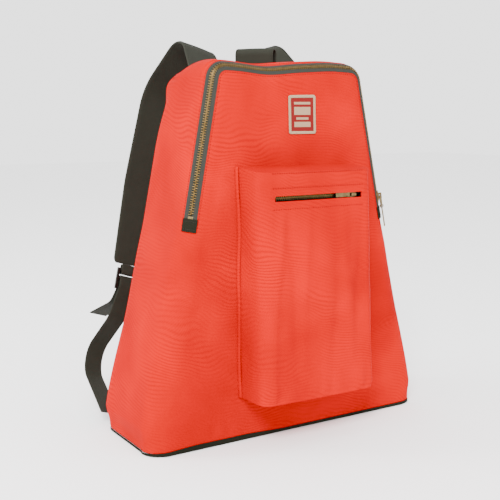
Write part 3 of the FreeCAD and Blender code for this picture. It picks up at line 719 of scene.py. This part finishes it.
def make_base():
    """The base: a darker cloth whose turned-up edge shows under the front."""
    count, half, deep, edge_top = 60, 190.4 * MM, 67.4 * MM, 4.2 * MM
    shares = np.linspace(-1, 1, count)
    rows = [np.linspace(-1, -0.9, 6), np.linspace(-0.85, 0.85, 20), np.linspace(0.9, 1, 6)]
    lines = []
    for share in np.concatenate(rows):
        wide = half - np.clip(abs(share) - 0.8, 0, 1) ** 2 * 420 * MM
        x = shares * wide
        z = np.maximum(foot_inset((1 - abs(share)) * 66 * MM), foot_inset(wide - np.abs(x)))
        lines.append(np.stack([x, np.full(count, share * deep), np.minimum(z, edge_top)], -1))
    base = sheet_mesh("base_panel_cloth", np.stack(lines), OLIVE, outward=-1, thick=0.8 * MM)
    finish_piece(base, "bag", "base_cloth", "base_panel")


def make_foot_band(wrap_rows):
    """The base cloth's turned-up edge, a narrow dark band round the foot of the sides and front."""
    low, high = wrap_rows[0].copy(), wrap_rows[1]
    in_front = smooth((-low[:, 1] - 52 * MM) / (12 * MM))
    share = in_front * (0.35 + 0.9 * smooth((90 * MM - np.abs(low[:, 0] + 105 * MM)) / (60 * MM)))
    top = low + (high - low) * (share - 0.3)[:, None]
    low[:, 2] = 0.5 * MM
    lines = np.stack([low + (top - low) * step for step in np.linspace(0, 1, 5)])
    edge = sheet_mesh("base_turned_edge", lines, OLIVE, relief=np.full(lines.shape[:2], 0.9 * MM),
                      thick=0.8 * MM)
    finish_piece(edge, "bag", "base_cloth")


# --- the main zip ---------------------------------------------------------------------------------

def zip_line(low):
    """The zip's centres and outward directions, from the left foot over the top to the right foot."""
    legs = spaced(low, TOP_C, 2.5 * MM)
    turns = np.linspace(TILT, math.pi / 2, 14)
    left = [(-float(half_width(0, s, 1)), s, TILT) for s in legs[:-1]]
    left += [(-CORNER_X, TOP_C, a) for a in turns]
    across = [(x, TOP_C, math.pi / 2) for x in np.linspace(-CORNER_X, CORNER_X, 60)[1:-1]]
    right = [(-x, s, math.pi - a) for x, s, a in left[::-1]]
    left = np.array([(x, s, math.pi - a) for x, s, a in left])
    whole = np.concatenate([left, across, np.array([(x, s, math.pi - a) for x, s, a in right])])
    return whole[:, 0], whole[:, 1], whole[:, 2]


def zip_frame(line, across, lift):
    """Points and axes at a distance across the zip (positive towards the body) and above its tape."""
    cx, cs, turn = line
    phi = math.pi / 4 + np.asarray(across) / EDGE_R
    reach = EDGE_R + np.asarray(lift)
    ox, os = np.cos(turn), np.sin(turn)
    x, s = cx + reach * np.sin(phi) * ox, cs + reach * np.sin(phi) * os
    n = EDGE_R - reach * np.cos(phi)
    origin = front_to_row(0.0, 0.0, 0.0)
    up = front_to_row(np.sin(phi) * ox, -np.cos(phi) + 0 * ox, np.sin(phi) * os) - origin
    out = front_to_row(np.cos(phi) * ox, np.sin(phi) + 0 * ox, np.cos(phi) * os) - origin
    return front_to_row(x, n, s), up, out


FOOT_C = ZIP_FOOT - EDGE_R * math.sin(math.pi / 4) * math.sin(TILT)
LINE = zip_line(FOOT_C)


def make_tape(name, side, nodes):
    """A woven tape with a corded edge beside the teeth. side is 1 on the body and -1 on the flap."""
    marks = np.array([0.9, 1.4, 2.2, 3.0, 3.4, 4.6, 6.0, 7.6]) * MM
    lifts = np.array([-0.5, -0.4, -0.3, 0.1, 0.5, 0.55, 0.4, 0.1]) * MM
    grid = np.stack([zip_frame(LINE, side * c, up)[0] for c, up in zip(marks, lifts)], 1)
    length = length_along(grid[:, 4])
    uv = np.stack(np.broadcast_arrays(marks[None, :], length[:, None]), -1)
    # A grid's normal is across x along. The line runs clockwise seen from the front.
    tape = sheet_mesh(name, settle(grid), TAPE_CLOTH, thick=0.9 * MM, outward=1 if side > 0 else -1, uv=uv)
    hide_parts(*nodes)
    return tape


TOOTH = [(3.1, 0.50, -1.05), (3.1, -0.50, -1.05), (0.4, -0.40, -1.05), (-0.8, -0.60, -0.8),
         (-0.8, 0.60, -0.8), (0.4, 0.40, -1.05), (3.1, 0.50, 0.60), (3.1, -0.50, 0.60),
         (2.4, -0.40, 1.2), (2.4, 0.40, 1.2), (0.4, -0.32, 1.2), (0.4, 0.32, 1.2),
         (-0.8, -0.60, 0.85), (-0.8, 0.60, 0.85), (-0.55, -0.42, 1.15), (-0.55, 0.42, 1.15)]
TOOTH_FACES = [(0, 5, 2, 1), (5, 4, 3, 2), (0, 1, 7, 6), (6, 7, 8, 9), (9, 8, 10, 11), (11, 10, 14, 15),
               (15, 14, 12, 13), (13, 12, 3, 4), (1, 2, 10, 8, 7), (0, 6, 9, 11, 5), (2, 3, 12, 14, 10),
               (5, 11, 15, 13, 4)]


def teeth_on(name, centres, out, up, pitch, start):
    """A row of teeth along a line. out points away from the zip's middle on this side."""
    spots, along = resample(centres, pitch, start)
    total = length_along(centres)
    at = start * pitch + np.arange(len(spots)) * pitch
    frames = np.stack([sampled(out, total, at), along, sampled(up, total, at), spots], 1)
    flip = np.linalg.det(frames[:1, :3])[0] < 0
    faces = TOOTH_FACES if flip else [face[::-1] for face in TOOTH_FACES]
    row = place_many(name, np.array(TOOTH) * MM, faces, frames, TEETH)
    row.data.polygons.foreach_set("use_smooth", [False] * len(row.data.polygons))
    return row


def make_teeth(name, side, start, nodes):
    centres, up, out = zip_frame(zip_line(FOOT_C + 13.5 * MM), 0.0, 0.75 * MM)
    row = teeth_on(name, settle(centres), out * side, up, 2.9 * MM, start)
    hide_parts(*nodes)
    return row


def make_main_zip():
    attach(make_tape("main_zip_tape_body_side", 1, ["main_zip_tape_body"]), "bag")
    bend_with_flap(make_tape("main_zip_tape_flap_side", -1, [
        "main_zip_tape_flap", "main_zip_tape_lower_left", "main_zip_tape_lower_right"]))
    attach(make_teeth("main_zip_teeth_body_side", 1, 0.5, ["main_zip_chain_body"]), "bag")
    bend_with_flap(make_teeth("main_zip_teeth_flap_side", -1, 1.0, [
        "main_zip_chain_flap", "main_zip_chain_lower_left", "main_zip_chain_lower_right"]))
    for side, word in ((-1, "left"), (1, "right")):
        make_end_tab(side, word)


def make_end_tab(side, word):
    """The cloth tab over the foot of the zip, stitched down along both edges."""
    cs = spaced(FOOT_C - 5 * MM, FOOT_C + 10 * MM, 1.5 * MM)
    cx = np.array([side * float(half_width(0, v, 1)) for v in cs])
    line = (cx, cs, np.full(len(cs), math.pi - TILT if side < 0 else TILT))
    half = 8.6 * MM
    marks = np.linspace(-8.6, 8.6, 13) * MM
    lift = 1.9 * MM - 0.5 * MM * (np.abs(marks) / half) ** 4
    grid = np.stack([zip_frame(line, across, up)[0] for across, up in zip(marks, lift)], 1)
    tab = sheet_mesh(f"zip_end_tab_{word}_cloth", grid, OLIVE, thick=1.5 * MM, outward=side)
    finish_piece(tab, "bag", "base_cloth", f"zip_end_tab_{word}")
    up = zip_frame(line, 0.0, 0.0)[1]
    for index, column in enumerate((2, -3)):
        edge = grid[column, 1:-1]
        row = stitches(f"zip_end_tab_{word}_stitches_{index}", edge, np.tile(up[0], (len(edge), 1)),
                       DARK_THREAD, pitch=2.4 * MM, length=1.8 * MM)
        finish_piece(row, "bag", "base_cloth")


def zip_topstitch():
    """Stitch lines on the cloth beside the zip, a few millimetres from its turned edges."""
    offset = SHOWN_TAPE + 3.2 * MM
    for side, word in ((1, "body"), (-1, "flap")):
        line, up, _ = zip_frame(LINE, side * offset, 0.25 * MM)
        row = stitches(f"topstitch_{word}_side", settle(line), up, THREAD)
        if side > 0:
            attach(row, "bag")
        else:
            bend_with_flap(row)


wrap_points = make_wrap()
make_flap()
make_yoke()
make_back()
make_base()
make_foot_band(wrap_points)
make_main_zip()
zip_topstitch()


# --- the front pocket -----------------------------------------------------------------------------

POCKET_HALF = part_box("pocket_bottom_gusset")[1].x
POCKET_LOW = 55 * MM
POCKET_TOP = 330 * MM
POCKET_DROP = 6 * MM        # how far the pocket's top falls from the bag to its front edge
POCKET_DEEP = 56 * MM       # depth at the foot
POCKET_TOP_DEEP = 50 * MM   # depth at the top
POCKET_R = 14 * MM
SLIT_LOW, SLIT_HIGH, SLIT_HALF = 290.9 * MM, 297.0 * MM, 63 * MM
SLIT_MIDDLE = 294 * MM
# Folds in the pocket's front, in millimetres: place, lean, width and fullness.
POCKET_FOLDS = ((-62, 0.10, 7, 1.5), (-40, -0.06, 9, -1.4), (-24, 0.05, 7, 1.1), (4, -0.04, 12, 0.9),
                (22, 0.05, 8, -1.0), (38, -0.08, 9, 1.3), (58, 0.07, 8, -1.1), (70, -0.03, 6, 0.9))


def pocket_depth(s):
    return POCKET_DEEP - 6 * MM * (s - POCKET_LOW) / (POCKET_TOP - POCKET_DROP - POCKET_LOW)


def pocket_top(depth):
    return POCKET_TOP - POCKET_DROP * depth / POCKET_TOP_DEEP


def slit_calm(s, beside=1):
    """How much of the cloth's swell is left at a height: it lies flatter beside the slit."""
    return 0.25 + 0.75 * (1 - hump(s - SLIT_MIDDLE, 16 * MM) * beside)


def slit_lip(s):
    """The cloth's fold over the slit's top edge."""
    return 1.7 * MM * np.exp(-(s - SLIT_HIGH) / (6 * MM))


def pocket_profile():
    """Round the pocket from one join to the other, as (x share, depth share, corner turn)."""
    left = [(-1.0, value, None) for value in np.linspace(0.0, 1.0, 16)[:-1]]
    left += [(-1.0, 1.0, turn) for turn in np.linspace(0, math.pi / 2, 10)]
    front = [(share, 1.0, "front") for share in np.linspace(-1, 1, 92)[1:-1]]
    right = [(1.0, depth, turn) for _, depth, turn in left[::-1]]
    return left + front + right


def pocket_surface(rows_low, rows_top_share):
    """The pocket's outside: rows of one height up to the slit's top, then of one share of the way up."""
    lines = []
    rows = [(s, None) for s in rows_low]
    rows += [(SLIT_HIGH + share * (POCKET_TOP - SLIT_HIGH), share) for share in rows_top_share]
    for height, share in rows:
        deep = pocket_depth(min(height, POCKET_TOP - POCKET_DROP))
        line = []
        for x_share, depth_share, turn in pocket_profile():
            if turn is None:
                x, n = x_share * POCKET_HALF, depth_share * (deep - POCKET_R)
            elif turn == "front":
                x, n = x_share * (POCKET_HALF - POCKET_R), deep
            else:
                x = x_share * (POCKET_HALF - POCKET_R * (1 - math.cos(turn)))
                n = deep - POCKET_R * (1 - math.sin(turn))
            s = height if share is None else SLIT_HIGH + share * (pocket_top(n) - SLIT_HIGH)
            line.append((x, n, s))
        lines.append(line)
    return np.array(lines)


def pocket_swell(x, n, s):
    """How far the cloth stands out from its flat pattern: full in the middle, slack at the corners."""
    tall = np.clip((s - POCKET_LOW) / (POCKET_TOP - POCKET_LOW), 0, 1)
    wide = np.clip(1 - np.abs(x) / POCKET_HALF, 0, 1)
    front = smooth((n - 30 * MM) / (20 * MM))
    body = np.sin(np.clip(tall, 0, 1) * math.pi) ** 0.7
    value = 3.2 * MM * body * np.sin(np.clip(wide, 0, 1) * math.pi / 2) ** 0.8
    for at, lean, width, size in POCKET_FOLDS:
        crease = x - (at + lean * (s / MM - 190)) * MM - 3 * MM * np.sin(s / (46 * MM) + at)
        value = value + 1.8 * size * MM * hump(crease, width * MM) * front * body
    low = np.exp(-np.clip(s - POCKET_LOW, 0, None) / (22 * MM))
    pull = hump(x + 60 * MM, 26 * MM) * 1.2 + hump(x - 66 * MM, 22 * MM) + 0.35
    gathers = np.sin(x / (3.7 * MM) + 1.3 * np.sin(x / (13 * MM)))
    value = value + 1.9 * MM * low * pull * front * gathers * smooth((s - POCKET_LOW) / (5 * MM))
    side = 1 - front
    wrinkle = np.sin(s / (21 * MM) + n / (13 * MM) + 1.2 * np.sin(s / (55 * MM)))
    return value + side * body * smooth(n / (10 * MM)) * (1.6 * MM + 0.9 * MM * wrinkle)


def make_pocket():
    low_rows = [spaced(POCKET_LOW, SLIT_LOW, STEP), spaced(SLIT_LOW, SLIT_HIGH, 2.3 * MM)[1:]]
    low_rows = np.concatenate(low_rows)
    shares = np.linspace(0, 1, 14)[1:]
    grid = pocket_surface(low_rows, shares)
    x, n, s = grid[..., 0], grid[..., 1], grid[..., 2]
    low_edge, top_edge = np.clip(s - POCKET_LOW, 0, 1), np.clip(pocket_top(n) - s, 0, 1)
    relief = pocket_swell(x, n, s) * slit_calm(s, n > 40 * MM)
    relief = relief * smooth(low_edge / (7 * MM)) * smooth(top_edge / (5 * MM)) * smooth(n / (5 * MM))
    relief = relief + seam_relief(low_edge) * 0.8 + seam_relief(top_edge) * 0.8
    near = (np.abs(x) < SLIT_HALF + 6 * MM) & (n > 40 * MM)
    lip = np.where(s >= SLIT_HIGH - 1e-6, slit_lip(s), 0) * near
    groove = np.where(s < SLIT_LOW + 1e-6, seam_relief(SLIT_LOW - s), 0) * near
    relief = relief + lip + groove
    row_mid = (low_rows[:-1] + low_rows[1:]) / 2
    slit_rows = np.concatenate([(row_mid > SLIT_LOW) & (row_mid < SLIT_HIGH), np.zeros(len(shares), bool)])
    middle_x = (x[0, :-1] + x[0, 1:]) / 2
    deep = (n[0, :-1] + n[0, 1:]) / 2
    in_slit = (np.abs(middle_x) < SLIT_HALF) & (deep > 50 * MM)
    keep = ~(slit_rows[:, None] & in_slit[None, :])
    cloth = sheet_mesh("pocket_cloth", settle(front_to_row(x, -n, s)), ORANGE, relief=relief, keep=keep,
                       thick=1.1 * MM)
    finish_piece(cloth, "bag", "body_cloth", "pocket_front_panel", "pocket_upper_band")
    pocket_gusset("pocket_bottom_gusset", POCKET_DEEP, 1, lambda depth: POCKET_LOW)
    pocket_gusset("pocket_top_gusset", POCKET_TOP_DEEP, -1, pocket_top)
    pocket_bindings()
    pocket_zip()
    pocket_threads()


def pocket_gusset(name, full, outward, level_at):
    """The cloth that closes the pocket at its foot or top, from the bag out to its full depth."""
    count, lines = 60, []
    for deep in eased(0, 1, 20) * full:
        over = np.clip(deep - (full - POCKET_R), 0, POCKET_R)
        wide = POCKET_HALF - POCKET_R + math.sqrt(POCKET_R ** 2 - over ** 2)
        x = np.linspace(-wide, wide, count)
        lines.append(np.stack([x, np.full(count, deep), np.full(count, level_at(deep))], -1))
    x, n, s = np.moveaxis(np.array(lines), -1, 0)
    sag = np.sin(np.clip(n / full, 0, 1) * math.pi) * np.cos(x / POCKET_HALF * math.pi / 2)
    ripples = np.sin(x / (9 * MM)) * 0.5 * MM
    cap = sheet_mesh(name + "_cloth", settle(front_to_row(x, -n, s)), ORANGE,
                     relief=sag * (1.6 * MM + ripples), outward=outward, thick=1.1 * MM)
    finish_piece(cap, "bag", "body_cloth", name)


def rod_faces(rows, sides, closed=False):
    """The faces of a rod made of rings, with both ends shut unless the rod joins up with itself."""
    index = np.arange(rows * sides).reshape(rows, sides)
    nexts = np.roll(index, -1, 1)
    if closed:
        corners = [index, nexts, np.roll(nexts, -1, 0), np.roll(index, -1, 0)]
    else:
        corners = [index[:-1], nexts[:-1], nexts[1:], index[1:]]
    faces = [tuple(f) for f in np.stack(corners, -1).reshape(-1, 4)]
    return faces if closed else faces + [tuple(index[0][::-1]), tuple(index[-1])]


def tube(name, line, radius_u, radius_v, up, material, closed=False):
    """A rounded bead along a line, radius_u sideways and radius_v along up."""
    sides = 10
    along = np.roll(line, -1, 0) - np.roll(line, 1, 0) if closed else np.gradient(line, axis=0)
    along = unit(along)
    up = unit(up - along * np.sum(up * along, 1, keepdims=True))
    side = np.cross(along, up)
    turns = np.linspace(0, 2 * math.pi, sides, endpoint=False)
    ru = np.broadcast_to(radius_u, len(line))[:, None, None]
    rv = np.broadcast_to(radius_v, len(line))[:, None, None]
    verts = line[:, None] + side[:, None] * np.cos(turns)[None, :, None] * ru \
        + up[:, None] * np.sin(turns)[None, :, None] * rv
    uv = np.stack(np.broadcast_arrays((turns * 1.5 * MM)[None, :], length_along(line)[:, None]), -1)
    return new_object(name, verts.reshape(-1, 3), rod_faces(len(line), sides, closed), material,
                      uv.reshape(-1, 2))


def pocket_bindings():
    rows = spaced(POCKET_LOW, POCKET_TOP, 2.5 * MM)
    for side, word in ((-1, "left"), (1, "right")):
        wave = 0.5 * MM * np.sin(rows / (17 * MM) + side)
        x = side * (POCKET_HALF + 1.2 * MM) + wave
        line = settle(front_to_row(x, np.full(len(rows), -1.9 * MM), rows))
        bead = tube(f"pocket_binding_{word}_cloth", line, 1.9 * MM + 0.25 * wave, 3.4 * MM + 0.4 * wave,
                    facing_front(len(rows)), ORANGE)
        finish_piece(bead, "bag", "body_cloth", f"pocket_binding_{word}")


def pocket_zip():
    """Two narrow tapes behind the slit with their teeth."""
    low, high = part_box("pocket_zip_chain_lower")[0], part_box("pocket_zip_chain_upper")[1]
    left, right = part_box("pocket_zip_stop_left")[0].x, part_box("pocket_zip_stop_right")[1].x
    middle = (low.z + high.z) / 2
    depth = (low.y + high.y) / 2
    xs = spaced(left, right, 4 * MM)
    for side, word in ((-1, "lower"), (1, "upper")):
        marks = np.array([0.9, 1.5, 2.4, 3.4, 5.2, 7.4]) * MM
        lift = np.array([0.4, 0.7, 0.7, 0.35, 0.3, 0.2]) * MM
        grid = np.stack([np.stack([xs, depth - up + 0 * xs, middle + side * mark + 0 * xs], -1)
                         for mark, up in zip(marks, lift - 1.1 * MM)])
        uv = np.stack(np.broadcast_arrays(marks[:, None], xs[None, :]), -1)
        tape = sheet_mesh(f"pocket_zip_tape_{word}_cloth", grid, TAPE_CLOTH, thick=0.8 * MM,
                          outward=side, uv=uv)
        finish_piece(tape, "bag", "zip_tape", f"pocket_zip_tape_{word}")
        line = np.stack([xs, np.full(len(xs), depth - 0.3 * MM), np.full(len(xs), middle)], -1)
        line = line[(xs > left + 2 * MM) & (xs < right - 2 * MM)]
        out = np.tile([0, 0, float(side)], (len(line), 1))
        row = teeth_on(f"pocket_zip_teeth_{word}", line, out, facing_front(len(line)), 2.6 * MM,
                       0.5 if side < 0 else 1.0)
        finish_piece(row, "bag", "zip_teeth", f"pocket_zip_chain_{word}")


def pocket_threads():
    """Topstitching on the pocket: under the slit, above it and along the top edge."""
    edge = POCKET_TOP - POCKET_DROP
    rows = ((SLIT_LOW - 9 * MM, 0.45), (SLIT_HIGH + 9 * MM, 0.35), (edge - 1.2 * MM, 0.9))
    xs = spaced(-66 * MM, 66 * MM, 3 * MM)
    for index, (s, lift) in enumerate(rows):
        deep = pocket_depth(min(s, edge))
        high = pocket_swell(xs, np.full(len(xs), deep), np.full(len(xs), s)) * slit_calm(s)
        high = high * smooth((edge - s) / (5 * MM)) + (slit_lip(s) if s > SLIT_HIGH else -0.4 * MM)
        line = settle(front_to_row(xs, -(deep + high + lift * MM), np.full(len(xs), s)))
        row = stitches(f"pocket_stitches_{index}", line, facing_front(len(xs)), THREAD)
        finish_piece(row, "bag", "body_cloth")


# --- the patch ------------------------------------------------------------------------------------

def make_patch():
    centre_x = (PATCH_LOW.x + PATCH_HIGH.x) / 2
    half_x = (PATCH_HIGH.x - PATCH_LOW.x) / 2
    half_s = (PATCH_HIGH.z - PATCH_LOW.z) / 2
    centre_s = (PATCH_LOW.z + PATCH_HIGH.z) / 2 / math.cos(LEAN)

    def on_patch(u, v, lift):
        moved = settle(front_to_row(centre_x + u, 0 * u, centre_s + v))
        return moved + np.array([0, -math.cos(LEAN), -math.sin(LEAN)]) * np.asarray(lift)[..., None]

    def plate(name, u0, u1, v0, v1, lift, thick, material):
        u, v = np.meshgrid(spaced(u0, u1, 1.5 * MM), spaced(v0, v1, 1.5 * MM))
        piece = sheet_mesh(name, on_patch(u, v, lift + 0 * u), material, thick=thick)
        return finish_piece(piece, "flap", "patch")

    inset, border = 1.4 * MM, 3.6 * MM
    field = plate("patch_field", -half_x + inset, half_x - inset, -half_s + inset, half_s - inset,
                  0.9 * MM, 0.9 * MM, PATCH_RED)
    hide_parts("label_patch")
    turn = np.linspace(0, 2 * math.pi, 160, endpoint=False)
    c, s = np.cos(turn), np.sin(turn)
    scale = 1 / np.maximum(np.abs(c) / (half_x - border / 2), np.abs(s) / (half_s - border / 2))
    line = on_patch(c * scale, s * scale, np.full(len(turn), 0.75 * MM))
    bead = tube("patch_border", line, border / 2, 0.75 * MM, facing_front(len(line)), PATCH_CREAM,
                closed=True)
    finish_piece(bead, "flap", "patch")
    spots, along = resample(np.concatenate([line, line[:1]]), 0.8 * MM)
    up = facing_front(len(spots))
    up = up - along * np.sum(up * along, 1, keepdims=True)
    frames = np.stack([np.cross(up, along), along, up, spots + up * 0.5 * MM], 1)
    threads = place_many("patch_border_threads", *capsule(border, 0.36 * MM), frames, CREAM_THREAD)
    finish_piece(threads, "flap", "patch")
    bars = ((-12, 12, 12.0, 15.0), (-12, 12, -0.5, 9.0), (-9, 9, -6.2, -3.4), (-12, 12, -15.0, -8.8))
    for index, (u0, u1, v0, v1) in enumerate(bars):
        plate(f"patch_bar_{index}", u0 * MM, u1 * MM, v0 * MM, v1 * MM, 1.2 * MM, 0.5 * MM, PATCH_CREAM)


# --- straps, webbing and the haul loop ------------------------------------------------------------

def rounded_line(points, radii, step):
    """A polyline in a side view with its corners rounded, sampled evenly."""
    out = [np.array(points[0], float)]
    for index in range(1, len(points) - 1):
        p, q, r = (np.array(points[k], float) for k in (index - 1, index, index + 1))
        if index not in radii:
            out.append(q)
            continue
        a, b = (p - q) / np.linalg.norm(p - q), (r - q) / np.linalg.norm(r - q)
        half = math.acos(max(-1, min(1, float(a @ b)))) / 2
        cut = radii[index] / math.tan(half)
        centre = q + (a + b) / np.linalg.norm(a + b) * radii[index] / math.sin(half)
        first, last = q + a * cut, q + b * cut
        v0, v1 = first - centre, last - centre
        turn = math.atan2(v0[0] * v1[1] - v0[1] * v1[0], v0 @ v1)
        for share in np.linspace(0, 1, max(4, int(abs(turn) * 12))):
            c, s = math.cos(turn * share), math.sin(turn * share)
            out.append(centre + np.array([v0[0] * c - v0[1] * s, v0[0] * s + v0[1] * c]))
    out.append(np.array(points[-1], float))
    line = np.array(out)
    length = length_along(line)
    return sampled(line, length, np.linspace(0, length[-1], int(length[-1] / step) + 2))


def band(name, points, radii, thick, wide, matrix, material, step=3.0, crown=0.0, round_end=False):
    """A flat strap along a side-view line, which is its outer face; the strap lies to the line's right.

    It gives the strap, its outer face's line, the directions out of that face, and the way across.
    """
    line = rounded_line(points, radii, step)
    along = unit(np.gradient(line, axis=0))
    right = np.stack([along[:, 1], -along[:, 0]], -1)
    centre = line + right * thick / 2
    length = length_along(line)
    half, edge = wide / 2, thick / 2
    flat = np.linspace(-1, 1, 15) * (half - edge)
    ends = np.linspace(0, math.pi, 5)[1:-1]
    section = [(u, -edge) for u in flat]
    section += [(half - edge + edge * math.sin(a), -edge * math.cos(a)) for a in ends]
    section += [(u, edge) for u in flat[::-1]]
    section += [(-half + edge - edge * math.sin(a), edge * math.cos(a)) for a in ends]
    verts, uvs = [], []
    for middle, side, at in zip(centre, right, length):
        shape = np.array(section)
        left_over = length[-1] - at
        if round_end and left_over < 6:
            shape[:, 0] *= min(1, 0.86 + 0.14 * math.sqrt(max(left_over, 0) / 6))
        depths = shape[:, 1] - crown * (1 - (shape[:, 0] / half) ** 2)
        for across, depth in zip(shape[:, 0], depths):
            verts.append(matrix @ Vector((across, *(middle + side * depth))) * MM)
            uvs.append((across * MM, at * MM))
    sides = len(section)
    piece = new_object(name, verts, rod_faces(len(line), sides), material, np.array(uvs))
    rim = set(range(sides)) | set(range(len(verts) - sides, len(verts)))
    mesh = piece.data
    flags = [edge.vertices[0] in rim and edge.vertices[1] in rim for edge in mesh.edges]
    mesh.attributes.new("sharp_edge", "BOOLEAN", "EDGE").data.foreach_set("value", flags)
    if volume(piece) < 0:
        mesh.flip_normals()
    turn = matrix.to_3x3()
    surface = np.array([matrix @ Vector((0, *p)) * MM for p in line])
    outward = np.array([turn @ Vector((0, *(-q))) for q in right])
    return piece, surface, outward, np.array(turn @ Vector((1, 0, 0)))


def volume(obj):
    total = 0.0
    for face in obj.data.polygons:
        v = [obj.data.vertices[i].co for i in face.vertices]
        for k in range(1, len(v) - 1):
            total += v[0].dot(v[k].cross(v[k + 1]))
    return total


TIP_Y, TIP_Z = 126.5, -265              # the strap's lower end in its own side view
TIP_SLOPE = math.atan2(26, 109)         # how the strap's last stretch leans
STRAP_PATH = [(34, -14), (93.1, 45), (165.3, -28), (154, -156), (128, TIP_Z)]
STRAP_WIDE, WEBBING_WIDE = 50, 25


def grip_along(along, out):
    """A place by the strap's end: a distance on past it and a distance out from its face."""
    return (-along * math.sin(TIP_SLOPE) + out * math.cos(TIP_SLOPE),
            -along * math.cos(TIP_SLOPE) - out * math.sin(TIP_SLOPE))


def make_straps():
    for side, word in ((-1, "left"), (1, "right")):
        hang = Matrix.Translation((side * 60, 0, 446)) @ Matrix.Rotation(-side * math.radians(16), 4, "Y")
        strap, face, out, across = band(f"{word}_strap_webbing", STRAP_PATH, {1: 32, 2: 55, 3: 120}, 3,
                                        STRAP_WIDE, hang, STRAP, crown=0.8, round_end=True)
        finish_piece(strap, "bag", "webbing", f"{word}_shoulder_strap")
        for index, offset in enumerate((-22.5, 22.5)):
            line = face[3:] + across * offset * MM
            row = stitches(f"{word}_strap_edge_stitches_{index}", line + out[3:] * 0.15 * MM, out[3:],
                           DARK_THREAD, pitch=3.6 * MM, length=2.6 * MM)
            finish_piece(row, "bag", "webbing")
        for index, back in enumerate((3, 9)):
            line = np.linspace(-19, 19, 20)[:, None] * MM * across + face[-1 - back]
            row = stitches(f"{word}_strap_hem_stitches_{index}", line, np.tile(out[-1 - back], (20, 1)),
                           DARK_THREAD)
            finish_piece(row, "bag", "webbing")
        make_webbing(side, word, hang @ Vector((0, TIP_Y, TIP_Z)))


def make_webbing(side, word, tip):
    """The adjuster webbing from the bag's foot through the buckle to its loose tail, and the keeper."""
    def beside(along, out):
        y, z = grip_along(along, out)
        return (TIP_Y + y, z)

    turn = Matrix.Rotation(-side * math.radians(18), 4, "Y")
    path = [(70.4, -185), (175.95, -142), (122.8, -72), beside(30, -4), beside(15.6, -4),
            beside(15.6, 4), beside(30, 4), (131, -52), (184, -77)]
    webbing = band(f"{word}_webbing", path, {1: 30, 2: 40, 4: 3.8, 5: 3.8, 7: 18}, 1.8, WEBBING_WIDE,
                   Matrix.Translation((tip.x, 0, tip.z)) @ turn, STRAP, step=1.6)[0]
    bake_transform(webbing)
    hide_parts(f"{word}_adjuster_webbing")
    # The keeper is a short doubled webbing from inside the strap's hem round the buckle's top bar.
    path = [grip_along(0.8, -1.5), grip_along(13.6, -3.1), grip_along(13.6, 3.1), grip_along(0.8, 1.5)]
    keeper = band(f"{word}_keeper_webbing", path, {1: 2.6, 2: 2.6}, 1.1, WEBBING_WIDE,
                  Matrix.Translation(tip) @ turn, STRAP, step=0.8)[0]
    finish_piece(keeper, "bag", "webbing", f"{word}_buckle_keeper")


def make_haul_loop():
    stand = Matrix.Translation((0, 25, 441)) @ Matrix.Rotation(-math.radians(50), 4, "Z")
    path = [(-8.5, -7), (-8.5, 31), (8.5, 31), (8.5, -7)]
    loop, face, out, across = band("haul_loop_webbing", path, {1: 8, 2: 8}, 2.4, STRAP_WIDE, stand, STRAP,
                                   step=1.5, crown=0.5)
    finish_piece(loop, "bag", "webbing", "haul_loop")
    for index, offset in enumerate((-22.5, 22.5)):
        line = face[10:-10] + across * offset * MM
        row = stitches(f"haul_loop_stitches_{index}", line, out[10:-10], DARK_THREAD)
        finish_piece(row, "bag", "webbing")


def hardware_looks():
    """Materials for the hard parts, which keep their CAD shapes."""
    for node, obj in frame["nodes"].items():
        if any(word in node for word in ("slider", "ring", "pull", "stop", "ladder")):
            look = BLACK_BUCKLE if "ladder" in node else HARDWARE
            for slot in obj.material_slots:
                slot.material = look


PATCH_RED = thread("patch_red", (0.150, 0.0055, 0.0050))
PATCH_CREAM = thread("patch_cream", (0.30, 0.195, 0.115))
BLACK_BUCKLE = brass("buckle_metal", (0.016, 0.016, 0.013), (0.035, 0.034, 0.028), 0.45)
make_pocket()
make_patch()
make_straps()
make_haul_loop()
hardware_looks()


# --- camera, light and floor ----------------------------------------------------------------------

def area_light(name, place, target, size, power, colour=(1, 1, 1)):
    lamp = bpy.data.lights.new(name, "AREA")
    lamp.shape = "DISK"
    lamp.size, lamp.energy, lamp.color = size, power, colour
    obj = bpy.data.objects.new(name, lamp)
    obj.location = place
    obj.rotation_euler = (Vector(target) - Vector(place)).to_track_quat("-Z", "Y").to_euler()
    bpy.context.scene.collection.objects.link(obj)


def make_studio():
    wide = 6.0
    verts = [(-wide, -wide, 0), (wide, -wide, 0), (wide, wide, 0), (-wide, wide, 0)]
    floor_look = Nodes("studio_floor", roughness=0.9)
    floor_look.finish((0.93, 0.93, 0.93))
    floor = new_object("floor", verts, [(0, 1, 2, 3)], floor_look.material)
    floor.location.z = -0.0006
    world = bpy.data.worlds.new("studio")
    bpy.context.scene.world = world
    world.use_nodes = True
    world.node_tree.nodes["Background"].inputs["Color"].default_value = (1, 1, 1, 1)
    world.node_tree.nodes["Background"].inputs["Strength"].default_value = 2.5
    centre = (0, 0, 0.22)
    area_light("key", (-1.3, -1.5, 1.7), centre, 0.8, 110)
    area_light("rim", (-1.6, 0.9, 1.3), centre, 0.7, 26)
    area_light("fill", (1.8, -1.4, 0.8), centre, 1.4, 8)


def make_camera():
    target = Vector((-0.0148, 0.015, 0.217))
    turn, rise, far = math.radians(-32), math.radians(8.65), 1.150
    place = target + far * Vector((math.sin(turn) * math.cos(rise), -math.cos(turn) * math.cos(rise),
                                   math.sin(rise)))
    data = bpy.data.cameras.new("camera")
    data.lens, data.sensor_width = 64.2, 36
    camera = bpy.data.objects.new("camera", data)
    camera.location = place
    camera.rotation_euler = (target - place).to_track_quat("-Z", "Y").to_euler()
    bpy.context.scene.collection.objects.link(camera)
    bpy.context.scene.camera = camera


make_studio()
make_camera()
